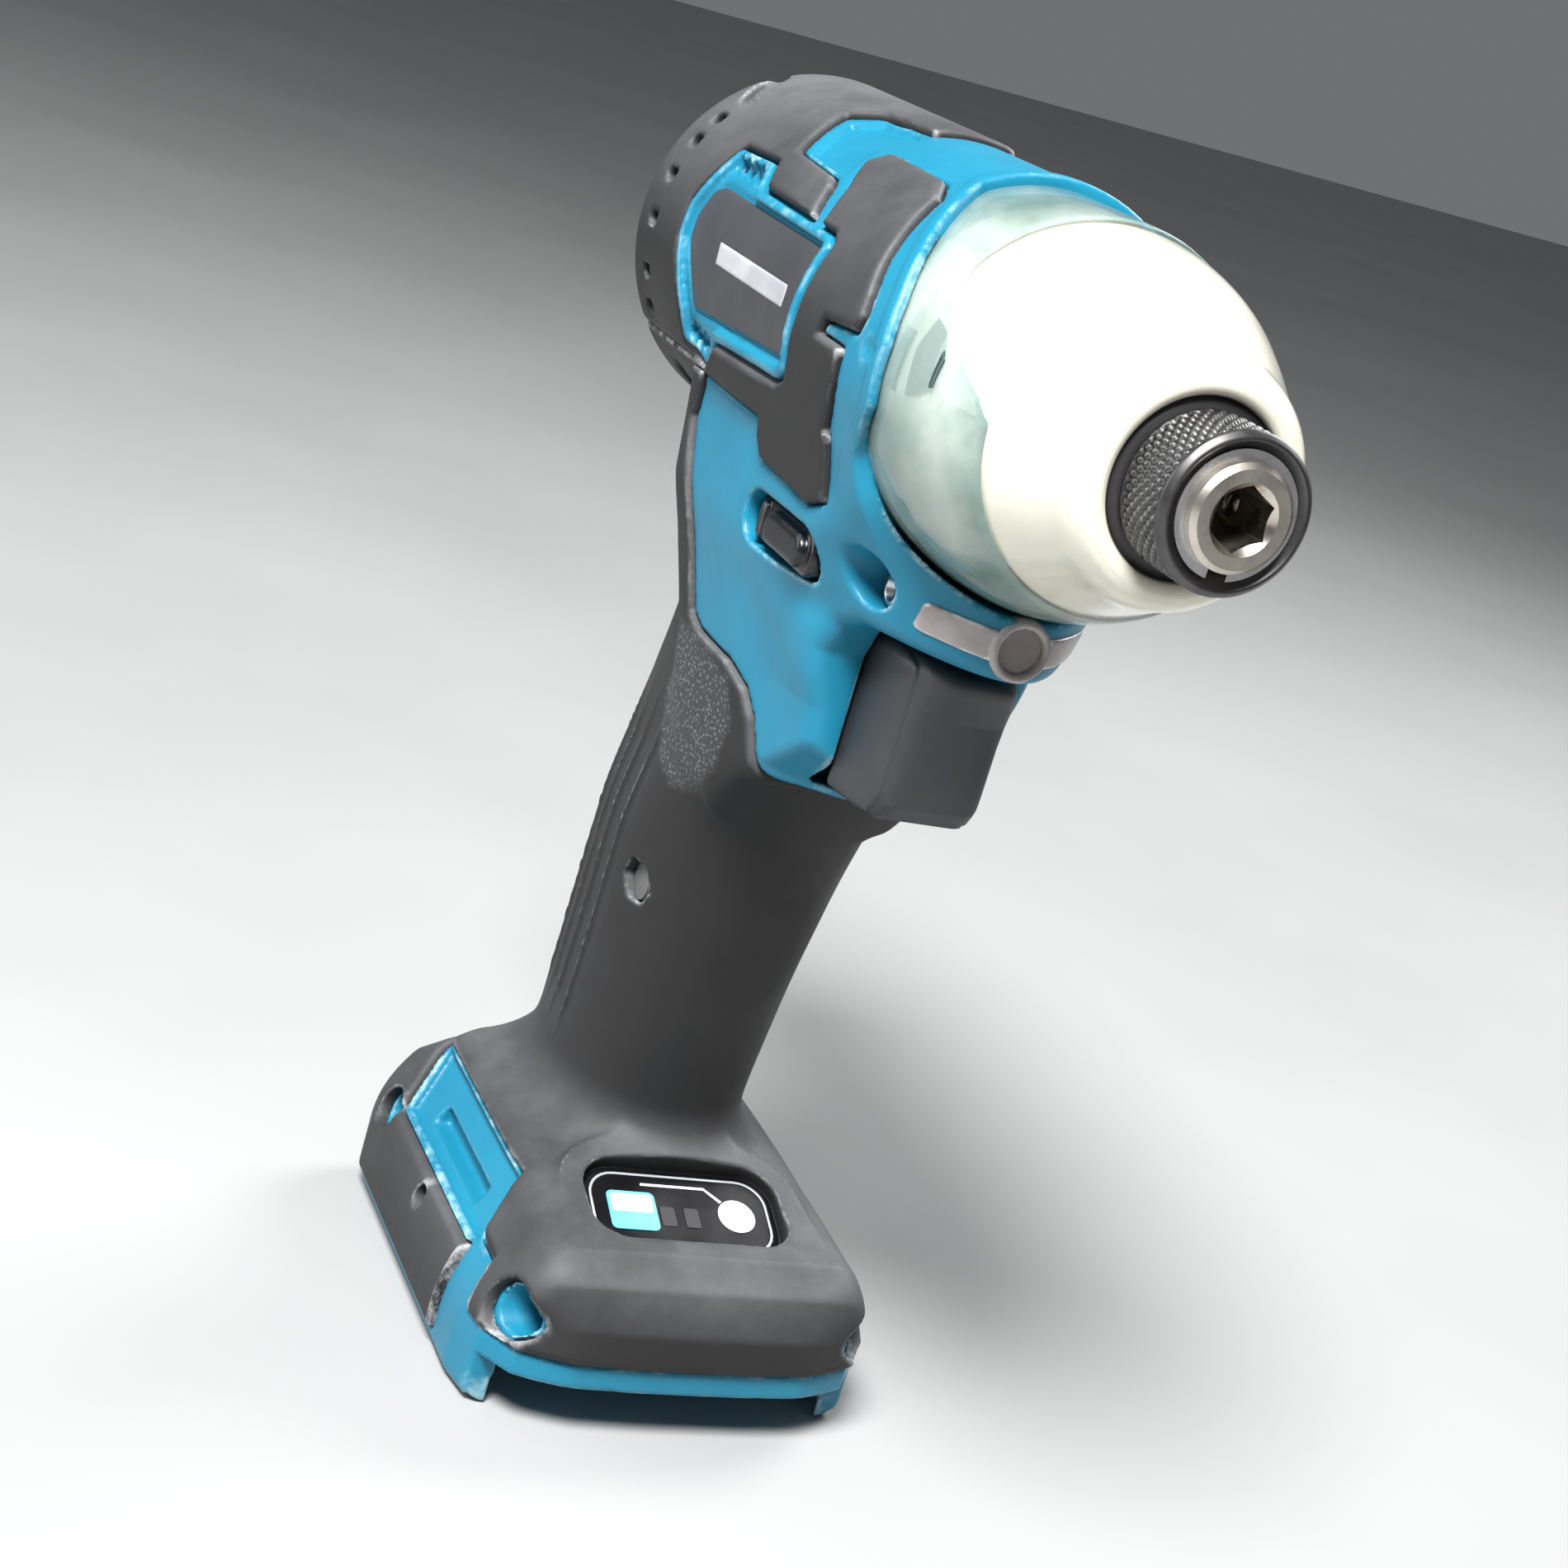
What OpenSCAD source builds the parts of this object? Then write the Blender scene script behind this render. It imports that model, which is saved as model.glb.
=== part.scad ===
// Compact cordless impact driver, bare tool without a battery.
// Tool frame: X runs from the rear of the head to the nose, Z is up and Y = 0 is the split plane.
// The drive axis lies along X at axis_height. place() moves the finished tool onto its own origin,
// which is the middle of the base plane.

/* [Overall] */
// Length from the rear of the head to the tip of the anvil
tool_length = 135; // [134.6:0.1:135.6]
// Height of the drive axis above the battery base
axis_height = 152.5; // [152:0.5:154]

/* [Head] */
// Radius of the plastic head
head_r = 23.8; // [23.6:0.1:24.4]
// Wall of the head
head_wall = 2.5; // [2:0.1:2.7]
// Rear edge rounding of the head
head_round = 5; // [3:0.5:6]
// Thickness of the soft overmould
rubber = 0.8; // [0.6:0.1:1.2]
// Front edge of the plastic head
head_front = 84; // [83.5:0.1:84.2]

/* [Handle and base] */
// Thickness of the soft grip on the handle
grip = 1.3; // [1:0.1:1.6]
// Half width of the battery rails
rail_half = 30; // [29.5:0.1:31]
// Height of the battery bay
bay_height = 7.5; // [7:0.1:8]
// Half width of the battery bay
bay_half = 24.6; // [24.2:0.1:25]
// Front of the base
base_front = 75; // [74:0.5:76]

/* [Nose] */
// Wall of the nose cover
cover_wall = 1.7; // [1.5:0.1:1.8]
// Opening of the nose cover round the sleeve
cover_mouth_r = 10.2; // [9.8:0.1:10.6]
// Radius of the bit sleeve
sleeve_r = 9; // [8.8:0.1:9.2]
// Length of the bit sleeve
sleeve_len = 9.7; // [9.4:0.1:9.8]
// Radius of the anvil in front of the bush
anvil_r = 6; // [5.9:0.05:6.1]
// Distance across the flats of the bit socket
socket_flats = 6.4; // [6.35:0.05:6.5]
// Depth of the bit socket
socket_depth = 20; // [16:1:21]

/* [Gears] */
// Gear module
gear_module = 0.7; // [0.68:0.01:0.72]
// Play taken off each tooth flank
tooth_play = 0.09; // [0.06:0.01:0.12]

/* [Controls] */
// Half width of the trigger
trigger_half = 8; // [7.6:0.1:8.2]
// Radius of the mode button
mode_r = 2.8; // [2.4:0.1:3]

/* [Hidden] */
$fn = 72;
facet = 32;          // sides of the hull sections
eps = 0.01;

head_in = head_r - head_wall;
nose_start = head_front + 0.3;
cover_len = 41;

// Handle sections: [height, middle, half depth, half width]
flare_low = [24, 27.5, 24, 20];
flare_top = [38, 28.3, 19.8, 14];
grip_mid = [70, 33, 21.3, 15.3];
grip_top = [95, 41.8, 22.6, 15.8];
neck = [127, 50, 30, 19];

// Drive train, positions along X
rear_bearing_x = 3;
rear_bearing_len = 5;
holder_x = 8.6;
holder_len = 10.6;
can_x = 21;
can_len = 30;
fan_x = 52.4;
fan_len = 5.4;
plate_x = 58.6;
plate_len = 7.4;
gear_x = 67.2;
gear_len = 6;
ring_len = 9.2;
case_x = plate_x + plate_len + ring_len;
flange_x = 74.2;
flange_len = 3.6;
hammer_x = 84;
hammer_len = 13;
hammer_r = 16.4;
lug_len = 4;
cam_x = 89;
cam_r = 2;
cam_orbit = 7.2;
spring_x = flange_x + flange_len + 1.1;
pocket_len = 7.5;
anvil_x = hammer_x + hammer_len + 0.4;
bush_x = 105.4;
bush_end = 122.4;
tip_x = tool_length;
sleeve_x = tip_x - 1.3 - sleeve_len;
ball_x = sleeve_x + 2.6;
ball_r = 1.5;
ball_hole_r = 1.56;
ridge_front = ball_x + 1.2;
ring_x = tip_x - 2.4;
ring_thick = 0.8;
shaft_r = 2.5;
shank_r = 6.5;
spindle_r = 7;
flange_r = 13;
can_r = 18.5;
case_in = 17.2;

// Gears
sun_teeth = 12;
planet_teeth = 18;
ring_teeth = sun_teeth + 2 * planet_teeth;
sun_pitch = gear_module * sun_teeth / 2;
planet_pitch = gear_module * planet_teeth / 2;
ring_pitch = gear_module * ring_teeth / 2;
planet_orbit = sun_pitch + planet_pitch;
planet_count = 3;
pin_r = 1.6;

// Trigger, switch and direction lever
trigger_back = 76;
trigger_low = 97.6;
trigger_high = 119.8;
switch_x = 44;
switch_len = 25;
switch_low = 98;
switch_high = 121.6;
rod_z = 109;
rod_r = 2.4;
lever_x = 69.5;
lever_z = 126.4;
lever_half_len = 10;
lever_half_h = 3;
lever_half = 19.6;

// Sloping control panel on the base
panel_x = 57.4;
panel_z = 26.2;
panel_tilt = 22;
panel_half = 14.5;
panel_depth = 7.3;
panel_thick = 1.2;
mode_y = 8.4;

// Lamp in the chin
lamp_x = head_front + 9;
lamp_z = 125.4;
lamp_r = 2.7;

// Housing screws: [x, z, depth of the head from the split plane]
screws = [
    [47, axis_height + 21, 8.5], [14, axis_height - 20.6, 8.5], [86.6, 126.4, 13],
    [43, 69, 9.8], [64, 14.5, 21], [10, 14.5, 21]
];
screw_r = 1.25;
screw_head_r = 2.2;
screw_head_len = 2;
screw_len = 16;
boss_r = 2.4;

// Belt hook nut and battery leads
hook_x = 34;
hook_z = 13;
lead_route = [[36, 12], [31, 24], [31, 40], [34, 56], [38, 72], [42, 86], [44, 97.9]];

// ---------- helpers ----------
module place() translate([-tool_length / 2, 0, 0]) children();

// Children drawn along +Z come out along the drive axis, starting at x
module on_axis(x = 0) translate([x, 0, axis_height]) rotate([0, 90, 0]) children();

module rod(x, len, r) on_axis(x) cylinder(h = len, r = r);

module ring(x, len, outer, inner, sides = $fn) on_axis(x) difference() {
    cylinder(h = len, r = outer, $fn = sides);
    translate([0, 0, -1]) cylinder(h = len + 2, r = inner, $fn = sides);
}

// Body of revolution about the drive axis from [radius, x] points
module turned(points) on_axis() rotate_extrude($fn = 96) polygon(points);

module across(x, z, y0, y1, r) translate([x, y0, z]) rotate([-90, 0, 0])
    cylinder(h = y1 - y0, r = r);

module block(x0, x1, half_y, z0, z1) translate([x0, -half_y, z0])
    cube([x1 - x0, 2 * half_y, z1 - z0]);

module mirrored() mirror([0, 1, 0]) children();

module section(s, grow = 0) translate([s[1], 0, s[0]]) linear_extrude(0.2)
    scale([s[2] + grow, s[3] + grow]) circle(1, $fn = facet);

module span(a, b, grow_a = 0, grow_b = 0) hull() {
    section(a, grow_a);
    section(b, grow_b);
}

// Straight bodied stadium along Y, drawn up from z = 0
module stadium(half, r, h) {
    for (s = [-1, 1]) translate([0, s * (half - r), 0]) cylinder(h = h, r = r);
    translate([-r, r - half, 0]) cube([2 * r, 2 * (half - r), h]);
}

// Stadium along X, drawn up from z = 0
module slot_shape(half, r, h) rotate([0, 0, 90]) stadium(half, r, h);

// Plate with round corners lying across Y, drawn up from z = 0
module round_plate(half_x, half_y, r, h) {
    for (a = [-1, 1], b = [-1, 1]) translate([a * (half_x - r), b * (half_y - r), 0])
        cylinder(h = h, r = r);
    translate([-half_x, r - half_y, 0]) cube([2 * half_x, 2 * (half_y - r), h]);
    translate([r - half_x, -half_y, 0]) cube([2 * (half_x - r), 2 * half_y, h]);
}

// Outline of the control panel, moved out by grow
module panel_shape(grow, h) round_plate(panel_depth + grow, panel_half + grow, 5 + grow, h);

module mode_holes() for (s = [-1, 1]) on_panel() translate([0, s * mode_y, -6])
    cylinder(h = 8, r = mode_r + 0.3);

module on_panel() translate([panel_x, 0, panel_z]) rotate([0, panel_tilt, 0]) children();

function smooth(t) = t * t * (3 - 2 * t);

// Radius of the nose cover at a position from 0, its rear edge, to 1, just behind its mouth
function nose_r(t) = 22.4 - 6.9 * smooth(max(0, min(1, (t - 0.33) / 0.55)))
    - 0.9 * max(0, (t - 0.85) / 0.15);

// Closed tube swept along points, with sides corners a ring
module swept(points, r, sides) {
    n = len(points);
    function along(i) = points[min(i + 1, n - 1)] - points[max(i - 1, 0)];
    function unit(v) = v / norm(v);
    function side_of(t) = unit(cross(t, abs(unit(t)[1]) > 0.9 ? [1, 0, 0] : [0, 1, 0]));
    verts = [for (i = [0 : n - 1]) let (t = unit(along(i)), u = side_of(t), v = cross(t, u))
        for (k = [0 : sides - 1]) let (a = 360 * k / sides)
            points[i] + r * (cos(a) * u + sin(a) * v)];
    skin = [for (i = [0 : n - 2]) for (k = [0 : sides - 1]) let (m = (k + 1) % sides)
        [i * sides + k, i * sides + m, (i + 1) * sides + m, (i + 1) * sides + k]];
    ends = [[for (k = [sides - 1 : -1 : 0]) k],
            [for (k = [0 : sides - 1]) (n - 1) * sides + k]];
    polyhedron(points = verts, faces = concat(skin, ends), convexity = 10);
}

// Coil spring along the drive axis
module coil(x, len, mid_r, wire_r, turns, steps = 14, sides = 8) {
    count = ceil(turns * steps);
    pitch_len = len - 2 * wire_r;
    on_axis(x) swept([for (i = [0 : count]) let (a = 360 * i / steps, f = i / count)
        [mid_r * cos(a), mid_r * sin(a), wire_r + pitch_len * f]], wire_r * 0.97, sides);
}

// Outline of a gear: addendum and dedendum in modules, play off each flank
module gear_outline(teeth, play, add = 0.85, ded = 1.15, thick = 1) {
    p = gear_module * teeth / 2;
    half = 90 / teeth;
    function pt(r, a) = r * [cos(a), sin(a)];
    function shrink(r) = play / r * 180 / PI;
    root = p - ded * gear_module;
    tip = p + add * gear_module;
    polygon([for (i = [0 : teeth - 1]) let (c = 360 * i / teeth) for (q = [
        [root, -1.62], [p, -thick], [tip, -0.48], [tip, 0.48], [p, thick], [root, 1.62]])
        pt(q[0], c + q[1] * half - sign(q[1]) * shrink(q[0]))]);
}

module gear(x, len, teeth, bore, turn) on_axis(x) difference() {
    rotate([0, 0, turn]) linear_extrude(len) gear_outline(teeth, tooth_play);
    translate([0, 0, -1]) cylinder(h = len + 2, r = bore);
}

// ---------- housing ----------
module base_block(grow = 0) hull() {
    for (x = [10, base_front - 9], s = [-1, 1])
        translate([x, s * 19, bay_height]) cylinder(h = 11, r = 9 + grow, $fn = facet);
    for (x = [13, 40], s = [-1, 1])
        translate([x, s * 14, 20]) cylinder(h = 9 + grow, r = 9 + grow, $fn = facet);
}

module head_outer() turned([
    [0, 0], [head_r - head_round, 0],
    for (a = [15 : 15 : 75]) [head_r - head_round * (1 - sin(a)), head_round * (1 - cos(a))],
    [head_r, head_round], [head_r, head_front], [0, head_front]
]);

// Chin below the nose that carries the lamp
module chin() difference() {
    intersection() {
        rod(head_front - 8, 23, 31.2);
        block(head_front - 8, head_front + 15, 17.5, 120.5, 137.6);
    }
    ring(0, nose_start + 60, 23.45, 0.1);
}

module housing_outer() {
    head_outer();
    chin();
    span(flare_low, flare_top, -grip, -grip);
    span(flare_top, grip_mid, -grip, -grip);
    span(grip_mid, grip_top, -grip, -grip);
    span(grip_top, neck, -grip, 0);
    hull() {
        section(neck);
        translate([16, -16, 132]) cube([20, 32, 8]);
        translate([36, -19.5, 124]) cube([head_front - 36, 39, 16]);
    }
    hull() for (p = [[44, 122], [44, 96.1], [75, 96.1], [75, 122]])
        translate([p[0], -12, p[1]]) rotate([-90, 0, 0]) cylinder(h = 24, r = 2, $fn = facet);
    base_block(-grip);
    for (s = [-1, 1]) translate([1, s > 0 ? bay_half : -rail_half, 0])
        cube([base_front, rail_half - bay_half, 18]);
    block(0, 3, rail_half, 0, bay_height + 1.6);
}

module housing_hollow() {
    on_axis(2.5) cylinder(h = head_front, r = head_in);
    block(31, 73, 9.8, 96, 122.4);             // switch chamber
    block(70, 110, trigger_half + 0.4, 97.2, 120.2);    // trigger mouth
    translate([36, 0, 60]) rotate([0, 10, 0]) cube([26, 18, 84], center = true);
    block(8, 60, 17, bay_height + 2, 21);      // electronics space in the base
    block(20, 40, 9, 18, 34);
    translate([-1, -bay_half, -1]) cube([100, 2 * bay_half, bay_height + 1]);
    block(20, 48, 15.2, 1, bay_height + 3);    // seat of the terminal block
    lever_window();
    on_panel() translate([0, 0, -panel_thick]) panel_shape(0.15, 8);
    on_panel() translate([0, 0, -6]) panel_shape(-2, 8);
    mode_holes();
    across(lamp_x + 0.6, lamp_z, -4.2, 4.2, 4);          // lamp board space
    on_axis(lamp_x) translate([axis_height - lamp_z, 0, 0]) cylinder(h = 20, r = lamp_r + 0.05);
}

module lever_window() translate([lever_x, -40, lever_z]) rotate([-90, 0, 0])
    slot_shape(lever_half_len + 0.35, lever_half_h + 0.35, 80);

module housing_ribs() {
    ring(can_x + 3, 3, head_in + 0.4, can_r + 0.05);
    ring(can_x + can_len - 6, 3, head_in + 0.4, can_r + 0.05);
    ring(2.4, rear_bearing_len + 0.6, 11, 8.02);
    for (s = screws) across(s[0], s[1], -s[2], s[2], boss_r);
}

module screw_cuts() for (s = screws) {
    across(s[0], s[1], -60, -s[2], screw_head_r + 0.5);
    across(s[0], s[1], -s[2] - 1, s[2] - 1, screw_r + 0.05);
}

module vent_slots() {
    for (a = [-50, -30, 30, 50]) on_axis(fan_x) rotate([0, 0, -90 + a])
        translate([head_in - 3, -1.2, 0]) cube([10, 2.4, 5.4]);
    for (a = [-60 : 20 : 60]) on_axis(8.5) rotate([0, 0, -90 + a])
        translate([head_in - 3, -1.2, 0]) cube([10, 2.4, 7]);
}

module housing_half(screwed) color("teal") difference() {
    union() {
        difference() {
            housing_outer();
            housing_hollow();
        }
        difference() {
            intersection() {
                housing_ribs();
                union() {
                    on_axis(0.5) cylinder(h = 120, r = head_r - 0.5);
                    block(5, 110, 21, bay_height + 1, 140);
                }
            }
            rod(can_x, can_len, can_r);
        }
    }
    translate([-20, 0, -10]) cube([200, 60, 220]);
    if (screwed) screw_cuts();
    else for (s = screws) across(s[0], s[1], -s[2] + 0.9, 1, screw_r + 0.05);
    vent_slots();
    if (screwed) hook_nut_seat();
}

module hook_nut_seat() across(hook_x, hook_z, -rail_half - 1, -21.8, 3.2);

module housing_right() place() housing_half(true);
module housing_left() place() mirrored() housing_half(false);

module grip_half() color("dimgray") difference() {
    union() {
        span(flare_low, flare_top);
        span(flare_top, grip_mid);
        span(grip_mid, grip_top);
        base_block();
    }
    span(flare_low, flare_top, -grip, -grip);
    span(flare_top, grip_mid, -grip, -grip);
    span(grip_mid, grip_top, -grip, -grip);
    span(grip_top, neck, -grip, 0);
    base_block(-grip);
    block(-5, 100, 40, -1, bay_height + 1.6);
    block(-5, 100, 40, grip_top[0] - 1, 200);
    for (s = [-1, 1]) translate([-5, s > 0 ? bay_half - 0.01 : -40, -1]) cube([100, 16, 19.01]);
    translate([-20, 0, -10]) cube([200, 60, 220]);
    on_panel() translate([0, 0, -panel_thick]) panel_shape(0.15, 12);
    mode_holes();
    block(60, 110, trigger_half + 0.6, 90, 97.4);
}

module grip_right() place() difference() {
    grip_half();
    for (s = screws) across(s[0], s[1], -60, -8, 3.4);
}
module grip_left() place() mirrored() grip_half();

module bumper_half() color("dimgray") difference() {
    ring(5, 25, head_r + rubber, head_r + eps, 96);
    translate([-20, 0, -10]) cube([200, 60, 300]);
    translate([17, -60, axis_height - 10]) cube([60, 60, 20]);
    translate([0, -60, 0]) cube([60, 60, 137.8]);
    vent_slots();
}
module head_bumper_right() place() bumper_half();
module head_bumper_left() place() mirrored() bumper_half();

module name_plate() place() color("slategray") intersection() {
    ring(30.2, 30, head_r + 0.3, head_r + eps, 96);
    translate([0, -60, axis_height - 8.4]) cube([80, 60, 17]);
}

// ---------- nose ----------
module nose_cover() place() color("ivory") turned(concat(
    [for (i = [0 : 20]) [nose_r(i / 20), nose_start + cover_len * i / 20 * 0.985]],
    [[cover_mouth_r + 1.2, nose_start + cover_len], [cover_mouth_r, nose_start + cover_len],
     [cover_mouth_r, nose_start + cover_len - 1.6]],
    [for (i = [20 : -1 : 0]) [nose_r(i / 20) - cover_wall, nose_start + cover_len * i / 20 * 0.955]]
));

module clear_cover() place() color("lightcyan", 0.5) ring(nose_start, 14, 23.3, 22.45);

module hammer_case() place() color("silver") difference() {
    union() {
        rod(case_x, nose_start - case_x - 0.3, head_in - 0.1);
        turned([[0, nose_start - 1], [20.2, nose_start - 1], [20.2, 97], [16.6, 104.4],
                [13, 111], [11, 114], [11, bush_end + 0.2], [0, bush_end + 0.2]]);
    }
    turned([[0, case_x - 1], [case_in, case_x - 1], [case_in, bush_x - 3.6],
            [9.02, bush_x - 0.2], [9.02, bush_end + 1], [0, bush_end + 1]]);
    case_screw_holes();
}

module case_screw_holes() for (a = [45 : 90 : 315]) on_axis(plate_x) rotate([0, 0, a])
    translate([19.6, 0, 0]) cylinder(h = case_x - plate_x + 5, r = 0.85);

module case_screws() place() color("gray") for (a = [45 : 90 : 315]) on_axis(plate_x - 1.2)
    rotate([0, 0, a]) translate([19.6, 0, 0]) {
        cylinder(h = case_x - plate_x + 5, r = 0.8);
        cylinder(h = 1.1, r = 1.5);
    }

module anvil_bush() place() color("darkgoldenrod") ring(bush_x, bush_end - bush_x, 9, shank_r + 0.05);

// ---------- gear stage ----------
module ring_gear() place() color("gray") difference() {
    rod(plate_x + plate_len, ring_len, head_in - 0.1);
    on_axis(plate_x + plate_len - 1) rotate([0, 0, 180 / ring_teeth])
        linear_extrude(ring_len + 2) gear_outline(ring_teeth, -tooth_play, add = 1.15, ded = 0.85);
    case_screw_holes();
}

module gear_plate() place() color("black") difference() {
    rod(plate_x, plate_len, head_in - 0.1);
    on_axis(plate_x - 1) cylinder(h = plate_len + 2, r = 5);
    on_axis(plate_x + 0.8) cylinder(h = plate_len, r = 8.02);
    case_screw_holes();
}

module spindle_bearing() place() color("lightsteelblue")
    ring(case_x, flange_len - 1, case_in - 0.02, flange_r + 0.02);
module front_bearing() place() color("lightsteelblue") ring(plate_x + 0.8, 5, 8, shaft_r + 0.02);
module rear_bearing() place() color("lightsteelblue")
    ring(rear_bearing_x, rear_bearing_len, 8, shaft_r + 0.02);

// The sun and ring teeth divide evenly by the planets, so each planet meshes the same way
module planet(i) place() color("gainsboro") let (a = 360 * i / planet_count)
    on_axis(gear_x) rotate([0, 0, a]) translate([planet_orbit, 0, 0]) difference() {
        rotate([0, 0, 180 / planet_teeth]) linear_extrude(gear_len)
            gear_outline(planet_teeth, tooth_play);
        translate([0, 0, -1]) cylinder(h = gear_len + 2, r = pin_r + 0.04);
    }

module planet_gear_1() planet(0);
module planet_gear_2() planet(1);
module planet_gear_3() planet(2);

module planet_pins() place() color("silver") for (i = [0 : planet_count - 1]) on_axis(gear_x - 0.3)
    rotate([0, 0, 360 * i / planet_count]) translate([planet_orbit, 0, 0])
        cylinder(h = flange_x + flange_len - gear_x, r = pin_r);

module spindle() place() color("silver") difference() {
    union() {
        rod(flange_x, flange_len, flange_r);
        rod(flange_x + 1, hammer_x + hammer_len - flange_x - 1, spindle_r);
        rod(93, 8.4, 3);
    }
    for (i = [0 : planet_count - 1]) on_axis(flange_x - 1) rotate([0, 0, 360 * i / planet_count])
        translate([planet_orbit, 0, 0]) cylinder(h = flange_len + 0.7, r = pin_r + 0.01);
    for (s = [-1, 1]) translate([cam_x, s * cam_orbit, axis_height]) sphere(r = cam_r + 0.03);
}

module cam_balls() place() color("silver") for (s = [-1, 1])
    translate([cam_x, s * cam_orbit, axis_height]) sphere(r = cam_r);

module spring_washer() place() color("silver")
    ring(flange_x + flange_len + 0.1, 0.9, 14.4, spindle_r + 0.3);
module hammer_spring() place() color("dimgray")
    coil(spring_x, hammer_x + pocket_len - spring_x - 0.1, 12, 1.1, 3);

// Sector of a disc between two radii, half_angle to each side of +X before the turn
module sector(r0, r1, half_angle, h) difference() {
    linear_extrude(h) polygon(concat([[0, 0]],
        [for (a = [-half_angle : half_angle / 4 : half_angle + eps]) r1 * [cos(a), sin(a)]]));
    translate([0, 0, -1]) cylinder(h = h + 2, r = r0);
}

module hammer() place() color("dimgray") difference() {
    union() {
        rod(hammer_x, hammer_len, hammer_r);
        for (a = [0, 180]) on_axis(hammer_x + hammer_len - eps) rotate([0, 0, a])
            sector(9.5, hammer_r - 0.2, 20, lug_len);
    }
    on_axis(hammer_x - 1) cylinder(h = hammer_len + 8, r = spindle_r + 0.08);
    ring(hammer_x - 1, pocket_len + 1, 14, 10);
    for (s = [-1, 1]) on_axis(cam_x - cam_r - 1.2) translate([0, s * cam_orbit, 0])
        cylinder(h = 30, r = cam_r + 0.12);
}

// ---------- anvil and bit holder ----------
module anvil() place() color("gray") difference() {
    union() {
        for (a = [90, 270]) on_axis(anvil_x) rotate([0, 0, a]) sector(1, 15.6, 18, lug_len);
        rod(anvil_x, bush_x - anvil_x - 0.1, 8);
        rod(bush_x - 1, sleeve_x - 0.6 - bush_x + 1, shank_r);
        turned([[0, 118], [anvil_r, 118], [anvil_r, tip_x - 0.6], [anvil_r - 0.6, tip_x],
                [0, tip_x]]);
    }
    on_axis(anvil_x - 1) cylinder(h = 5.4, r = 3.06);
    on_axis(tip_x - socket_depth) cylinder(h = socket_depth + 1, d = socket_flats / cos(30), $fn = 6);
    turned([[0, tip_x - 3.9], [3.1, tip_x - 0.9], [4, tip_x + 0.01], [0, tip_x + 0.01]]);
    for (s = [-1, 1]) across(ball_x, axis_height, s > 0 ? 2.5 : -7, s > 0 ? 7 : -2.5, ball_hole_r);
    ring(ring_x, ring_thick, anvil_r + 1, anvil_r - 0.5);
}

module detent_balls() place() color("silver") for (s = [-1, 1])
    translate([ball_x, s * 4.5, axis_height]) sphere(r = ball_r);

module retaining_ring() place() color("silver") difference() {
    ring(ring_x + 0.03, ring_thick - 0.06, anvil_r + 1.1, anvil_r - 0.48);
    on_axis(ring_x - 1) translate([0, -1.2, 0]) cube([10, 2.4, 3]);
}

module sleeve_washer() place() color("silver")
    ring(ring_x - 0.9, 0.86, sleeve_r - 1.35, anvil_r + 0.05);

module sleeve_spring() place() color("silver")
    coil(ridge_front + 0.03, ring_x - 0.95 - ridge_front, 6.95, 0.4, 2, 18);

module bit_sleeve() place() color("dimgray") turned([
    [7.4, sleeve_x], [sleeve_r - 0.5, sleeve_x], [sleeve_r, sleeve_x + 0.5],
    [sleeve_r, sleeve_x + sleeve_len - 0.8], [sleeve_r - 0.6, sleeve_x + sleeve_len],
    [sleeve_r - 1.2, sleeve_x + sleeve_len], [sleeve_r - 1.2, ridge_front],
    [anvil_r + 0.08, ridge_front], [anvil_r + 0.08, ball_x - 1.1], [7.4, ball_x - 1.1]
]);

// ---------- motor ----------
module motor_can() place() color("silver") ring(can_x, can_len, can_r, 17);

module field_magnets() place() color("dimgray") for (a = [0, 180]) intersection() {
    ring(can_x + 2, can_len - 4, 16.98, 14.3);
    on_axis(can_x) rotate([0, 0, a]) rotate([0, 0, -60]) rotate_extrude(angle = 120)
        translate([10, 0]) square([10, can_len]);
}

module brush_holder() place() color("saddlebrown") difference() {
    rod(holder_x, holder_len, 17.2);
    on_axis(holder_x - 1) cylinder(h = holder_len + 2, r = 8.4);
    for (s = [-1, 1]) translate([holder_x + 2.4, s > 0 ? 7 : -20, axis_height - 2.6])
        cube([5.2, 13, 5.2]);
}

module carbon_brushes() place() color("black") for (s = [-1, 1])
    translate([holder_x + 2.5, s > 0 ? 6.66 : -14.66, axis_height - 2.5]) cube([5, 8, 5]);

module armature_core() place() color("peru") {
    rod_with_bore(23, 26, 13.7);
    rod_with_bore(20.2, 2.79, 11.4);
    rod_with_bore(49.01, 2.6, 11.4);
}
module rod_with_bore(x, len, r) ring(x, len, r, shaft_r);
module commutator() place() color("orange") ring(10, 9, 6.5, shaft_r);
module motor_shaft() place() color("silver") rod(2.9, gear_x + gear_len - 2.9, shaft_r);
module pinion() place() color("silver") gear(gear_x - 0.4, gear_len + 0.4, sun_teeth, shaft_r, 0);

module cooling_fan() place() color("white") {
    ring(fan_x, fan_len, 5, shaft_r);
    ring(fan_x + fan_len - 1.2, 1.2, 17, 4.9);
    for (a = [0 : 30 : 330]) on_axis(fan_x) rotate([0, 0, a])
        translate([4.8, -0.5, 0]) cube([12, 1, fan_len - 1]);
}

// ---------- controls ----------
// Side outline of the trigger, seen along Y, with the finger hollow cut out of its front
module trigger_side() difference() {
    polygon([[trigger_back, trigger_low], [90.6, trigger_low + 1.6], [93.4, trigger_low + 4.4],
             [96.4, 117], [95.8, trigger_high - 0.6], [94, trigger_high],
             [trigger_back, trigger_high]]);
    translate([107.2, 108.6]) circle(13.2);
}

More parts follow.
